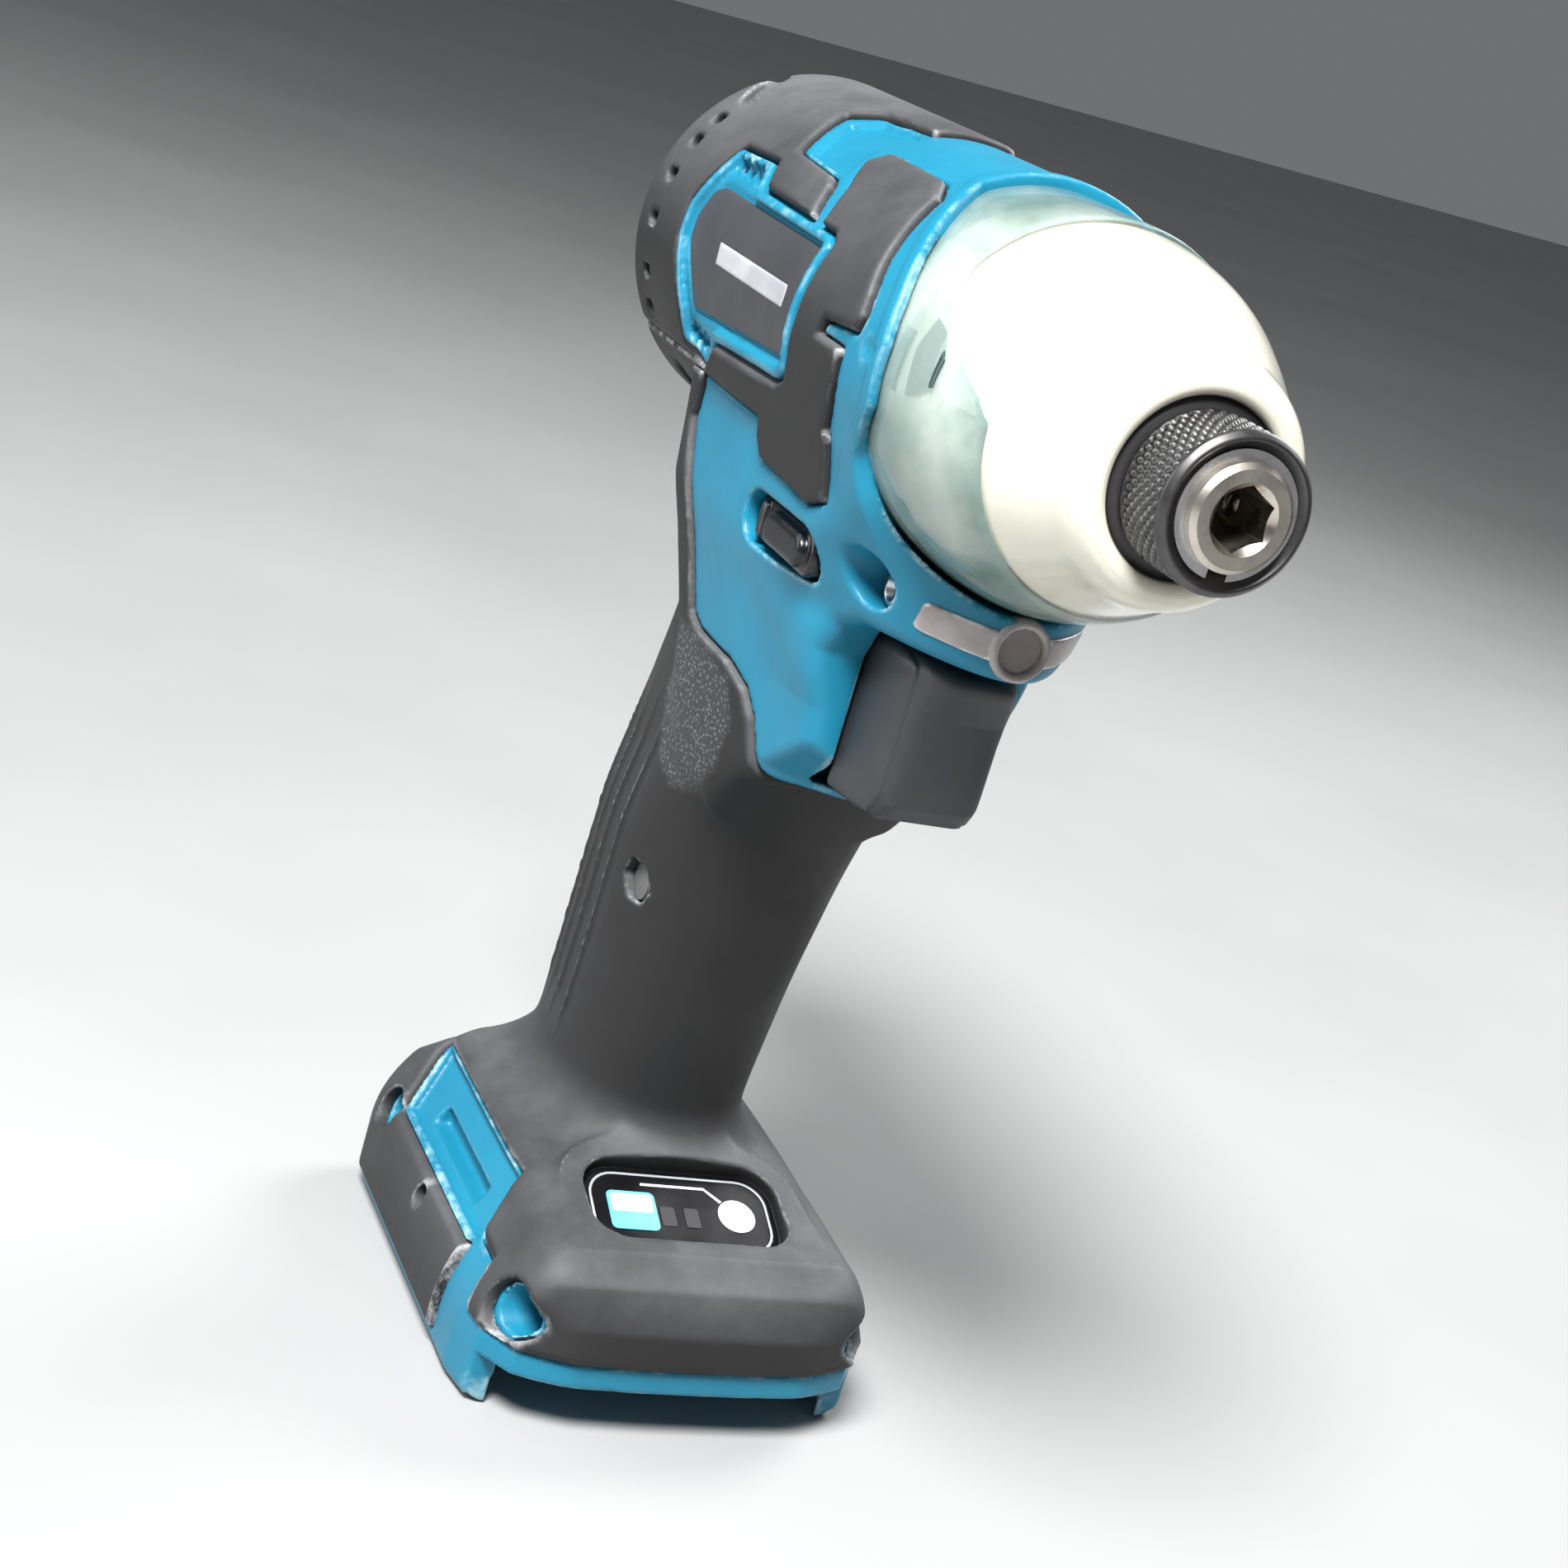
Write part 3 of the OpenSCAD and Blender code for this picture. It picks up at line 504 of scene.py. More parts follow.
# Two tones, roughness, and where given turned marks, their depth and the worn colour.
METALS = {
    "steel": ((0.50, 0.50, 0.51), (0.66, 0.66, 0.67)),
    "bearing_steel": ((0.60, 0.60, 0.61), (0.72, 0.72, 0.73), (0.12, 0.22)),
    "gear_steel": ((0.40, 0.40, 0.41), (0.52, 0.52, 0.53), (0.28, 0.4)),
    "dark_steel": ((0.05, 0.05, 0.052), (0.09, 0.09, 0.092), (0.35, 0.5)),
    "sleeve_black": ((0.075, 0.074, 0.076), (0.13, 0.127, 0.125), (0.34, 0.48), True, 0.15,
                     (0.42, 0.42, 0.43)),
    "anvil_steel": ((0.46, 0.41, 0.35), (0.72, 0.68, 0.62), (0.22, 0.38)),
    "cast_case": ((0.50, 0.50, 0.51), (0.62, 0.62, 0.63), (0.4, 0.55), False),
    "bronze": ((0.35, 0.22, 0.10), (0.48, 0.32, 0.16), (0.35, 0.5)),
    "brass": ((0.60, 0.42, 0.14), (0.74, 0.56, 0.24), (0.2, 0.32)),
    "copper": ((0.55, 0.22, 0.10), (0.68, 0.30, 0.15), (0.3, 0.42)),
    "commutator_copper": ((0.60, 0.28, 0.14), (0.74, 0.38, 0.2), (0.2, 0.3)),
}


def build_looks():
    looks = {"teal_shell": teal_plastic(), "soft_grip": black_rubber()}
    looks["clear_film"] = clear_plastic("clear_film", (0.16, 0.26, 0.235), (0.46, 0.56, 0.52))
    looks["lens"] = clear_plastic("lens", (0.30, 0.25, 0.24), (0.55, 0.50, 0.48))
    looks.update({name: plain_plastic(name, *given) for name, given in PLASTICS.items()})
    looks.update({name: metal(name, *given) for name, given in METALS.items()})
    return looks


# ---------- outside form of the housing ----------
def along(s, heights, sizes, blur=9.0):
    """A size that varies smoothly up the tool."""
    n = max(int(blur / s.pitch), 1)
    raw = np.pad(np.interp(s.z[0, 0], heights, sizes), n, mode="edge")
    window = np.hanning(2 * n + 3)[1:-1]
    return np.convolve(raw, window / window.sum(), "valid")[None, None, :].astype(np.float32)


def front_edge(angle):
    """Where the teal shell ends over the clear cover, round the head."""
    return np.interp(angle, [0, 27, 55, 70, 83, 100, 117, 140],
                     [77, 77.5, 86, 90, 92, 92, 87.7, 87.2])


def handle(s):
    heights = [10, 38, 58, 76, 92, 108, 124, 140]
    middle = along(s, heights, [27.5, 28.3, 31, 34.5, 40.4, 45.8, 49.6, 52])
    depth = along(s, heights, [20.5, 19.2, 20.1, 21.0, 21.9, 23.0, 26, 31])
    width = along(s, heights, [14, 13.4, 14.0, 15.0, 15.2, 15.6, 18.0, 19.2])
    power = 2.3
    q = (np.abs(s.x - middle) / depth) ** power + (np.abs(s.v) / width) ** power
    return soft_max((q ** (1 / power) - 1) * np.minimum(depth, width), s.z - 141, 2.0)


NECK = [(33, 142), (31, 134), (32, 124), (36, 115), (42, 106), (46, 97), (52, 89.5), (57, 87.5),
        (61, 90.8), (64.5, 93.6), (68, 95.2), (72, 95.8), (76, 96.2), (78.6, 99.5),
        (78.6, 115.5), (80.6, 119.6), (84, 121.2),
        (101, 121.2), (104, 142)]


def neck(s):
    """The flat sided block under the head, and the chin in front of it."""
    width = along(s, [86, 94, 105, 116, 123, 140], [12.8, 14.6, 15.8, 17.8, 19.8, 20.6], 4)
    taper = 3.0 * np.clip((s.x - 58) / 20, 0, 1) * np.clip((122 - s.z) / 14, 0, 1)
    bulge = along(s, [121, 129, 137], [11, 18, 32], 3)
    front = (s.x - 100.2 + s.v ** 2 / bulge) / np.sqrt(1 + (2 * s.v / bulge) ** 2)
    block = soft_max(s.side(NECK), s.v - width + taper, 3.0)
    block = soft_max(block, front, 2.0)
    ledge = 0.76 * (s.x - 78.6) + 0.65 * (s.v - 2.0 - 1.5 * np.maximum(s.z - 97.0, 0))
    block = soft_max(block, np.where(s.z < 112, ledge, -9), 1.0)
    return np.maximum(block, np.minimum(23.6 - s.radius, s.x - 84.2))


def shoulder(s):
    """The slope that takes off the top corner of the base."""
    return 0.857 * (s.v - 21.0) + 0.515 * (s.z - 27.2)


def base(s):
    """The foot that takes the battery, with sloping shoulders."""
    plan = s.plan([(-1, -9), (-1, 22), (2, 27.5), (8, 29.6), (60, 29.6), (66, 28.4), (71.5, 24.6),
                   (75, 17), (76.2, 8), (76.4, -9)])
    side = s.side([(1, 0), (0.8, 9), (3.6, 21.6), (11, 28.5), (42, 28.5), (69, 25.4),
                   (73.2, 22.6), (76.3, 17.6), (75.4, 10.5), (74.6, 0)])
    return soft_max(soft_max(plan, side, 3.0), shoulder(s), 3.5)


THUMB_REST = [(42, 107), (50, 107), (60, 105), (62.5, 99), (60, 92), (54, 86), (47, 84),
              (42, 87), (39, 96)]
PANEL = (57.4, 26.2, math.radians(22))


def on_panel(x, z):
    """Distances along and above the tilted control panel."""
    px, pz, tilt = PANEL
    return ((x - px) * math.cos(tilt) - (z - pz) * math.sin(tilt),
            (x - px) * math.sin(tilt) + (z - pz) * math.cos(tilt))


def rounded(u, w, half_u, half_w, r):
    du, dw = np.abs(u) - half_u + r, np.abs(w) - half_w + r
    return (np.sqrt(np.maximum(du, 0) ** 2 + np.maximum(dw, 0) ** 2)
            + np.minimum(np.maximum(du, dw), 0) - r)


def head(s):
    r = 5.5
    swell = 0.3 * np.clip((s.x - 79) / 3, 0, 1)
    along_x, out = 1.0 + r - s.x, s.radius - HEAD_R - swell + r
    tube = (np.sqrt(np.maximum(along_x, 0) ** 2 + np.maximum(out, 0) ** 2)
            + np.minimum(np.maximum(along_x, out), 0) - r)
    end = front_edge(s.angle).astype(np.float32)
    lip = soft_max(np.abs(s.x - end + 1.3) - 1.3, s.radius - HEAD_R - 0.55, 0.5)
    tube = soft_min(soft_max(tube, s.x - end, 0.6), lip, 0.5)
    tube = np.maximum(tube, np.minimum(23.05 - s.radius, s.x - 84.2))
    under = np.maximum(np.maximum(s.radius - 22.0, s.x - 84.2), 60 - s.x)
    return np.minimum(tube, under)


FRAME = [(25.7, 56.3), (37, 55.3), (40.2, 64.5), (65.5, 65.8), (67.0, 68.5), (65.2, 108),
         (63, 110.5), (39.7, 113), (35.9, 121.6), (25.5, 120.3), (25.3, 111.2), (23.6, 101.2),
         (21.7, 88.9), (21.7, 77.8), (24.5, 63)]
LABEL = [(27.8, 67.5), (64.9, 68.6), (64.3, 105.5), (28.8, 109.4), (26.9, 99.7), (23.6, 89),
         (23.4, 80), (25.2, 70.3)]
CROWN = [(39.5, 20), (48, 17.5), (51, 21), (50, 33), (51.6, 41), (53, 47.5), (40.5, 45.5),
         (36, 28)]
VENTS = [[(26.4, 57.6), (36.2, 56.8), (38.8, 63.8), (26, 64)],
         [(27.2, 112.2), (38.6, 113.6), (35.3, 119.8), (26.8, 118.9)]]


def housing(s):
    """The whole outside of one half at the level of the teal plastic."""
    body = soft_min(handle(s), neck(s), 5.0)
    body = soft_min(body, base(s), 9.0)
    u, w = on_panel(s.x, s.z)
    bulge = np.maximum(rounded(u, s.v, 9.4, 16.8, 6), np.abs(w + 3) - 3.6)
    body = soft_min(body, bulge, 3.0)
    body = soft_min(body, head(s), 4.0)
    # frame of the name plate
    ring = soft_max(np.abs(s.wrapped(FRAME) + 0.75) - 0.75, s.radius - HEAD_R - 1.0, 0.5)
    body = np.minimum(body, np.maximum(ring, 20 - s.radius))
    sunk = np.maximum(s.wrapped(LABEL), 23.35 - s.radius)
    body = soft_max(body, -np.maximum(sunk, 20 - s.v), 0.3)
    for vent in VENTS:
        hollow = np.maximum(s.wrapped(vent) + 0.2, 22.6 - s.radius)
        lean = np.mod(s.x - 0.22 * (s.angle - 60) + 100, 2.6) - 1.3
        bars = np.maximum(0.55 - np.abs(lean), 0) * 1.4
        body = soft_max(body, -np.maximum(hollow + bars, 18 - s.v), 0.3)
    # step in the crown, and the small recess beside the nose
    crown = np.maximum(s.wrapped(CROWN), 22.9 - s.radius)
    body = soft_max(body, -crown, 0.8)
    notch = np.maximum(s.slot_round(86.4, 90.2, 87, 0.9), HEAD_R - s.radius)
    return soft_max(body, -notch, 0.2)


# x, z, how far out the floor is, radius, and how much it widens outwards
WELLS = ((14, 131.9, 8.5, 2.7, 0.06), (86.6, 127.4, 10, 2.9, 0.1),
         (*BASE_WELL, 16.5, 2.4, 0.12), (10, 14.5, 21, 2.7, 0.06))


def screw_wells(s, body):
    """Recesses that the housing screws sit in."""
    for x, z, depth, r, flare in WELLS:
        well = s.rod(x, z, r) - flare * np.maximum(s.v - depth, 0)
        body = soft_max(body, -np.maximum(well, depth - s.v), 0.5)
    body = np.maximum(body, -np.maximum(s.rod(34, 13, 1.7), 24 - s.v))
    hexagon = np.maximum(np.abs(s.x - 43) * 0.87 + np.abs(s.z - 69) * 0.5, np.abs(s.z - 69)) - 2.7
    return soft_max(body, -np.maximum(hexagon, 10 - s.v), 0.4)


def windows(s, body):
    """Openings for the trigger, the lever, the lamp and the battery."""
    mouth = s.box(70, 112, -10, 8.35, 97.25, 120.15, 0.6)
    lever = np.maximum(rounded(s.x - LEVER_X, s.z - LEVER_Z + 0 * s.v, 10.35, 3.35, 3.3), 12 - s.v)
    lamp = np.maximum(np.sqrt(s.v ** 2 + (s.z - LAMP_Z) ** 2) - 2.9, 92 - s.x)
    bay = s.box(-9, 90, -9, 24.5, -9, 7.5)
    rail = s.box(1.5, 66, 24, 27.6, -9, 4.2)
    toe = s.box(66.5, 90, -9, 40, -9, 7.8)
    for cut in (mouth, lever, lamp, bay, rail, toe):
        body = soft_max(body, -cut, 0.4)
    u, w = on_panel(s.x, s.z)
    seat = np.maximum(rounded(u, s.v, 7.5, 14.7, 5.1), -1.0 - w)
    return soft_max(body, -np.maximum(seat, w - 9), 0.4)


def case_bore(s):
    """Room for the gear and hammer case behind the nose."""
    return np.maximum(s.radius - CASE_R, 60 - s.x)


def hollow(s, body):
    inside = body + WALL
    for x, z, depth, r, flare in WELLS:
        boss = s.rod(x, z, r + 1.6) - flare * np.maximum(s.v - depth, 0)
        inside = np.maximum(inside, -np.maximum(boss, depth - 1.8 - s.v))
    floor = np.maximum(9.6 - s.z, 2.0 - s.x)
    return np.minimum(np.maximum(inside, floor), case_bore(s))


TEAL_SIDE = [(36, 141), (35.2, 136), (34.2, 132), (36, 127.5), (40, 119.5), (44.5, 108.3),
             (48, 107), (58, 106.5), (62.5, 104.5), (65, 101.5), (66.5, 98), (68, 94.5), (70, 91.5),
             (84, 90), (84, 116), (112, 116), (112, 141)]
CAP = [(-9, -19), (50, -19), (50, 14), (37.4, 17), (33, 26.6), (38.4, 47.8), (52.5, 50),
       (54.4, 53), (57.5, 66), (57.5, 126), (83, 127), (83, 189), (-9, 189)]
PATCH = [(61.3, 70), (60.4, 60.7), (58.8, 52), (56.4, 46), (54.5, 40.3), (56.6, 33),
         (73, 34.2), (77, 40.3), (79.3, 53.6), (81.5, 64.6), (83.6, 73.5), (84.5, 80),
         (84, 84.5), (74.7, 86.3), (74, 90.8), (81.5, 90.8), (81.2, 100), (79.5, 114),
         (78.5, 128), (56, 128), (56, 106), (62, 100)]
FANG = [(-9, 160), (-9, 138.2), (58.1, 138.0), (58.4, 135.4), (60.4, 133.4), (76, 132.4),
        (80.5, 134.0), (80, 160)]
HOOK = [(8.5, 26.4), (50, 26.4), (55.0, 16.8), (51, 15.7), (13.5, 15.5)]


def head_rubber(s):
    """Negative where the head is covered with rubber."""
    region = np.minimum(s.wrapped(CAP), s.wrapped(PATCH))
    region = np.where(s.z < 142, s.side(FANG), region)
    return np.maximum(region, -s.wrapped(FRAME) + 0.5)


def rear_slots(s, body):
    """Air slots round the back of the head, cut through the rubber."""
    for angle in (51, 61, 74, 89, 106, 118):
        slot = np.maximum(rounded(s.x - 10.5, (s.angle - angle) * 0.415, 1.5, 0.9, 0.8),
                          21.5 - s.radius)
        body = soft_max(body, -slot, 0.4)
    long_slot = rounded(s.x - 4.0 - (s.angle - 19.6) / 3, (s.angle - 31.6) * 0.415, 2.2, 4.6, 1.6)
    return soft_max(body, -np.maximum(long_slot, 23.2 - s.radius), 0.4)


def grip_rubber(s):
    """Negative where the handle and the base are covered."""
    handle_part = np.maximum(-s.side(TEAL_SIDE), s.z - 138.2)
    rise = 7.6 * np.clip((s.v - 24.5) / 2, 0, 1) * np.clip((62.0 - s.x) / 1.5, 0, 1)
    front = np.where(s.x < 53, 3.0 + 0 * s.v, 11.8 + rise)
    foot = front - s.z
    hook = np.maximum(s.side(HOOK), 18.5 - s.v)
    well = np.maximum(s.rod(*BASE_WELL, 4.0), 12 - s.v)
    return np.maximum(np.maximum(handle_part, foot), np.maximum(-hook, -well))


def hook_recess(s, body):
    """The sunk face that the belt hook fastens to, with its slot."""
    sunk = np.maximum(s.side(HOOK) + 1.1, 18.5 - s.v)
    deep = shoulder(s) + 1.5
    body = soft_max(body, -np.maximum(sunk, -deep), 0.4)
    slot = s.box(20, 44, 22, 40, 17.6, 20.4, 0.8)
    return soft_max(body, -slot, 0.3)


def grip_details(s, body):
    """Ribs up the back of the handle, with a slightly flatter strip between them."""
    mid = along(s, [20, 38, 76, 92, 108, 124], [27, 28.3, 34.5, 40.4, 45.8, 49.6])
    fade = np.clip((s.z - 38) / 6, 0, 1) * np.clip((96 - s.z) / 10, 0, 1) * (s.v > 2)
    for offset, height in ((-13.0, 0.5), (-8.5, 0.55), (-4.0, 0.55), (1.5, 0.6)):
        rib = np.clip(1 - np.abs(s.x - mid - offset) / 0.75, 0, 1)
        body = body - height * rib * fade
    flat = np.clip(1.4 - np.abs(s.x - mid + 5.8) / 7.5, 0, 1) * fade
    return body + 0.7 * flat


def build_housing(looks):
    low, high = (-1.6, -PITCH / 2, -0.9), (103, 31.2, 178.4)
    s = Space(low, high)
    form = grip_details(s, hook_recess(s, housing(s)))
    teal = windows(s, screw_wells(s, form))
    inner = hollow(s, form)
    grip = grip_rubber(s)
    pad = head_rubber(s)
    black = np.minimum(grip, pad)
    outer = windows(s, screw_wells(s, form - RUBBER))
    coats = soft_max(rear_slots(s, outer), black, 0.9)
    u, w = on_panel(s.x, s.z)
    zone = np.maximum(rounded(u, s.v, 9.2, 16.4, 6), np.abs(w) - 2.2)
    for name, share, node in (("grip_skin", grip - pad, "grip"),
                              ("bumper", pad - grip, "head_bumper")):
        coat = np.maximum(coats, share)
        coat = np.maximum(coat, -(form + 1.1 + 1.4 * (zone < 0)))
        coat = np.maximum(coat, -case_bore(s))
        made = sculpt(f"{name}_right", s, coat, node=f"{node}_right", halved=True,
                      look=looks["soft_grip"], side=-1, slot="soft_grip")
        mirrored(made, f"{name}_left", f"{node}_left")
    core = soft_max(teal, 0.25 - black, 0.4)
    core = np.minimum(core, np.maximum(teal, form + 1.15))
    core = np.maximum(core, -zone)
    core = np.maximum(core, -inner)
    made = sculpt("shell_right", s, core, node="housing_right", look=looks["teal_shell"],
                  halved=True, side=-1, slot="teal_shell")
    mirrored(made, "shell_left", "housing_left")


def mirrored(source, name, node, body="tool"):
    """The same piece on the other side of the split plane."""
    mesh = source.data.copy()
    mesh.name = name
    mesh.transform(Matrix.Scale(-1, 4, (0, 1, 0)))
    mesh.flip_normals()
    obj = bpy.data.objects.new(name, mesh)
    bpy.context.scene.collection.objects.link(obj)
    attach(obj, body)
    if node:
        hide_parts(node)


# ---------- parts on the outside ----------
def build_plate(looks):
    """The name plate, blank, with its pale strip."""
    s = Space((21, 14, 140), (69, 25, 165), PITCH * 0.8)
    field = soft_max(np.abs(s.radius - 23.3) - 0.6, s.wrapped(LABEL) + 0.55, 0.25)
    sculpt("plate_right", s, field, node="name_plate", look=looks["blank_plate"], side=-1,
           slot="blank_plate")
    sculpt("plate_left", s, field, node=None, look=looks["teal_shell"], side=1,
           slot="teal_shell")
    s = Space((33, 20, 148), (63, 25.2, 158), PITCH * 0.6)
    strip = [(35.4, 84), (60.4, 84), (60.4, 91.4), (35.4, 91.4)]
    field = soft_max(np.abs(s.radius - 23.95) - 0.12, s.wrapped(strip), 0.2)
    sculpt("plate_strip", s, field, node=None, look=looks["strip_silver"], side=-1,
           slot="white_film")


def cover_profile():
    """Outer radius of the nose cover from its root to its mouth."""
    return smooth_profile([(84.3, 22.4), (97, 22.3), (104, 21.3), (110, 19.2), (116, 16.6),
                           (119.6, 15.1), (122.4, 14.2), (124, 13.1), (124.6, 11.9)], 8)


def build_nose(looks):
    outer = cover_profile()
    tip = [(124.6, 11.2), (124.4, 10.5), (124.0, 10.2)]
    inner = [(x - 1.2, max(r - 1.7, 10.2)) for x, r in reversed(outer) if 86 < x < 123]
    verts, faces = lathe(outer + tip + inner, 192)
    piece("nose_shell", verts, faces, "nose_cover", look=looks["cream_cover"],
          slot="cream_cover")
    verts, faces = lathe([(122.4, 10.15), (123.8, 10.15), (123.8, 6.4), (122.4, 6.4)], 96)
    piece("nose_seal", verts, faces, None, look=looks["black_plastic"], slot="black_plastic")


def sheet(name, edge_low, edge_high, angles, radius, thick, look, slot, side=None, node=None):
    """A thin curved plate about the drive axis between two edges that vary with angle."""
    verts, faces = [], []
    across = 16
    for a in angles:
        lo, hi = edge_low(a), edge_high(a)
        steps = [lo + (hi - lo) * i / across for i in range(across + 1)]
        half = [thick * (0.3 if i in (0, across) else 1) for i in range(across + 1)]
        ring = [(x, radius(x) + h) for x, h in zip(steps, half)]
        ring += [(x, radius(x) - h) for x, h in zip(steps[::-1], half[::-1])]
        for x, r in ring:
            verts.append((x, r * math.sin(math.radians(a)), AXIS + r * math.cos(math.radians(a))))
    n = 2 * (across + 1)
    closed = abs(angles[-1] - angles[0]) > 350
    for i in range(len(angles) - (0 if closed else 1)):
        j = (i + 1) % len(angles)
        for k in range(n):
            m = (k + 1) % n
            faces.append((i * n + k, i * n + m, j * n + m, j * n + k))
    if not closed:
        faces.append(tuple(range(n))[::-1])
        faces.append(tuple((len(angles) - 1) * n + k for k in range(n)))
    return piece(name, verts, faces, node, look=look, slot=slot, side=side or 1)


def build_clear_cover(looks):
    """The clear skin that runs from under the teal shell to a stepped edge on the cover."""
    def rear(a):
        return float(front_edge(min(a, 360 - a))) - 1.5

    def front(a):
        side = min(a, 360 - a)
        return float(np.interp(side, [0, 15, 33, 51, 60, 74, 84, 90, 180],
                               [96, 96, 95.5, 95.5, 97.5, 103, 109.5, 111.4, 112]))

    cover = cover_profile()

    def radius(x):
        return 0.36 + float(np.interp(x, [p[0] for p in cover], [p[1] for p in cover]))

    angles = [i * 2.0 for i in range(180)]
    sheet("clear_skin", rear, front, angles, radius, 0.22, looks["clear_film"], "clear_film",
          node="clear_cover")


def build_patches(looks):
    """Dark see-through patches in the side of the cover."""
    bar = sheet("cover_bar", lambda a: 91.6, lambda a: 94.6, [76 + i for i in range(19)],
                lambda x: 22.47, 0.06, looks["window_green"], "clear_film")

    def leaf_rear(a):
        return float(np.interp(a, [70, 80, 93], [97.0, 95.8, 97.0]))

    def leaf_front(a):
        return float(np.interp(a, [70, 72, 79, 87, 91, 93], [97.6, 100.5, 102.9, 102.7, 100, 97.6]))

    leaf = sheet("cover_leaf", leaf_rear, leaf_front, [70 + i for i in range(24)],
                 lambda x: 22.42 - 0.02 * max(x - 98, 0) ** 1.4, 0.06, looks["window_green"],
                 "clear_film")
    for obj in (bar, leaf):
        obj.data.transform(Matrix.Scale(-1, 4, (0, 1, 0)))
        obj.data.flip_normals()


def build_sleeve(looks):
    """Knurled bit sleeve with a plain rim."""
    rows, cols, r = 46, 288, 9.0
    start, stop = 124.15, 133.7
    verts, edge, profile = [], [], []
    for i in range(rows + 1):
        x = start + (stop - start) * i / rows
        chamfer = max(0, start + 0.5 - x) + max(0, x - stop + 0.7)
        profile.append((x, r - chamfer, 125.1 < x < 132.6))
    profile += [(133.7, 7.95, False), (133.1, 7.85, False), (133.1, 6.1, False),
                (124.15, 6.1, False)]
    for c in range(cols):
        a = 2 * math.pi * c / cols
        for x, rad, knurled in profile:
            lift = 0.0
            if knurled:
                u, w = a * 36 / (2 * math.pi), (x - start) / 1.55
                lift = abs(math.sin(math.pi * (u + w))) * abs(math.sin(math.pi * (u - w)))
                lift = 0.42 * min(lift * 1.3, 1) - 0.42
            verts.append((x, (rad + lift) * math.sin(a), AXIS + (rad + lift) * math.cos(a)))
            edge.append(max(0.0, (lift + 0.12) * 2.2) if knurled else 0.0)
    piece("knurled_sleeve", verts, around(len(profile), cols), "bit_sleeve", body="bit_sleeve",
          look=looks["sleeve_black"], slot="sleeve_black", edge=edge)


def build_trigger(looks):
    s = Space((74.5, -9.4, 96), (98, 9.4, 121.2), PITCH * 0.7)
    side = s.side([(76.1, 97.8), (88.0, 98.6), (91.0, 101.3), (91.4, 104), (92.6, 113),
                   (96.2, 117), (95.6, 119.2), (94, 119.7), (76.1, 119.7)])
    finger = s.rod(106.4, 109.2, 14.2)
    body = soft_max(side, -finger, 2.0)
    q = (np.maximum(s.x - 80.5, 0) / 15.8) ** 2.2 + (np.abs(s.v) / 7.95) ** 2.2
    body = soft_max(body, (q ** (1 / 2.2) - 1) * 7.95 + 0 * s.z, 2.0)
    spring = np.maximum(np.sqrt(s.v ** 2 + (s.z - 109) ** 2) - 4.1, s.x - 82)
    body = np.maximum(body, -spring)
    seam = np.maximum(np.abs(s.v) - 6.4, 78.5 - s.x)
    groove = np.clip(0.35 - np.abs(seam), 0, 1) * 0.6
    sculpt("trigger_key", s, body + groove, node="trigger", body="trigger",
           look=looks["trigger_grey"], slot="trigger_grey")


def build_lever(looks):
    s = Space((57.5, 12, 121), (81.5, 21.6, 132), PITCH * 0.55)
    bar = soft_max(rounded(s.x - LEVER_X, s.z - LEVER_Z + 0 * s.v, 9.8, 2.9, 2.8), s.v - 18.9, 0.9)
    pad = soft_max(rounded(s.x - LEVER_X - 2, s.z - LEVER_Z + 0 * s.v, 6.2, 2.1, 2.0), s.v - 20.2, 0.9)
    rib = soft_max(rounded(s.x - 61.8, s.z - LEVER_Z + 0 * s.v, 0.8, 2.3, 0.7), s.v - 19.6, 0.5)
    body = np.maximum(soft_min(soft_min(bar, pad, 0.5), rib, 0.4), 12.6 - s.v)
    made = sculpt("lever_right", s, body, node="direction_lever", body="direction_lever",
                  look=looks["gloss_black"], side=-1, slot="gloss_black")
    mirrored(made, "lever_left", None, "direction_lever")


def slab(name, points, place, thick, look, slot, bevel=0.25, node=None, body="tool"):
    """A flat plate from an outline in its own plane, with a small bevel round its face."""
    centre = np.mean(points, axis=0)
    loops = []
    for depth, inset in ((-thick, 0), (-bevel, 0), (-bevel * 0.3, bevel * 0.3), (0, bevel)):
        ring = []
        for p in points:
            d = np.array(p) - centre
            size = max(np.linalg.norm(d), 1e-6)
            ring.append((*(centre + d * (size - inset) / size), depth))
        loops.append(ring)
    n = len(points)
    verts = [place(*p) for ring in loops for p in ring]
    faces = [tuple(range(n))[::-1], tuple(3 * n + i for i in range(n))]
    for level in range(3):
        for i in range(n):
            j = (i + 1) % n
            faces.append((level * n + i, level * n + j, (level + 1) * n + j, (level + 1) * n + i))
    made = piece(name, verts, faces, node, body, look=look, slot=slot)
    for poly in made.data.polygons:
        poly.use_smooth = len(poly.vertices) == 4
    return made


def round_rect(u0, u1, w0, w1, r, steps=7):
    points = []
    for cu, cw, start in ((u1 - r, w1 - r, 0), (u0 + r, w1 - r, 90), (u0 + r, w0 + r, 180),
                          (u1 - r, w0 + r, 270)):
        for i in range(steps + 1):
            a = math.radians(start + 90 * i / steps)
            points.append((cu + r * math.cos(a), cw + r * math.sin(a)))
    return points


def panel_place(u, y, up):
    px, pz, tilt = PANEL
    return (px + u * math.cos(tilt) + up * math.sin(tilt), y,
            pz - u * math.sin(tilt) + up * math.cos(tilt))


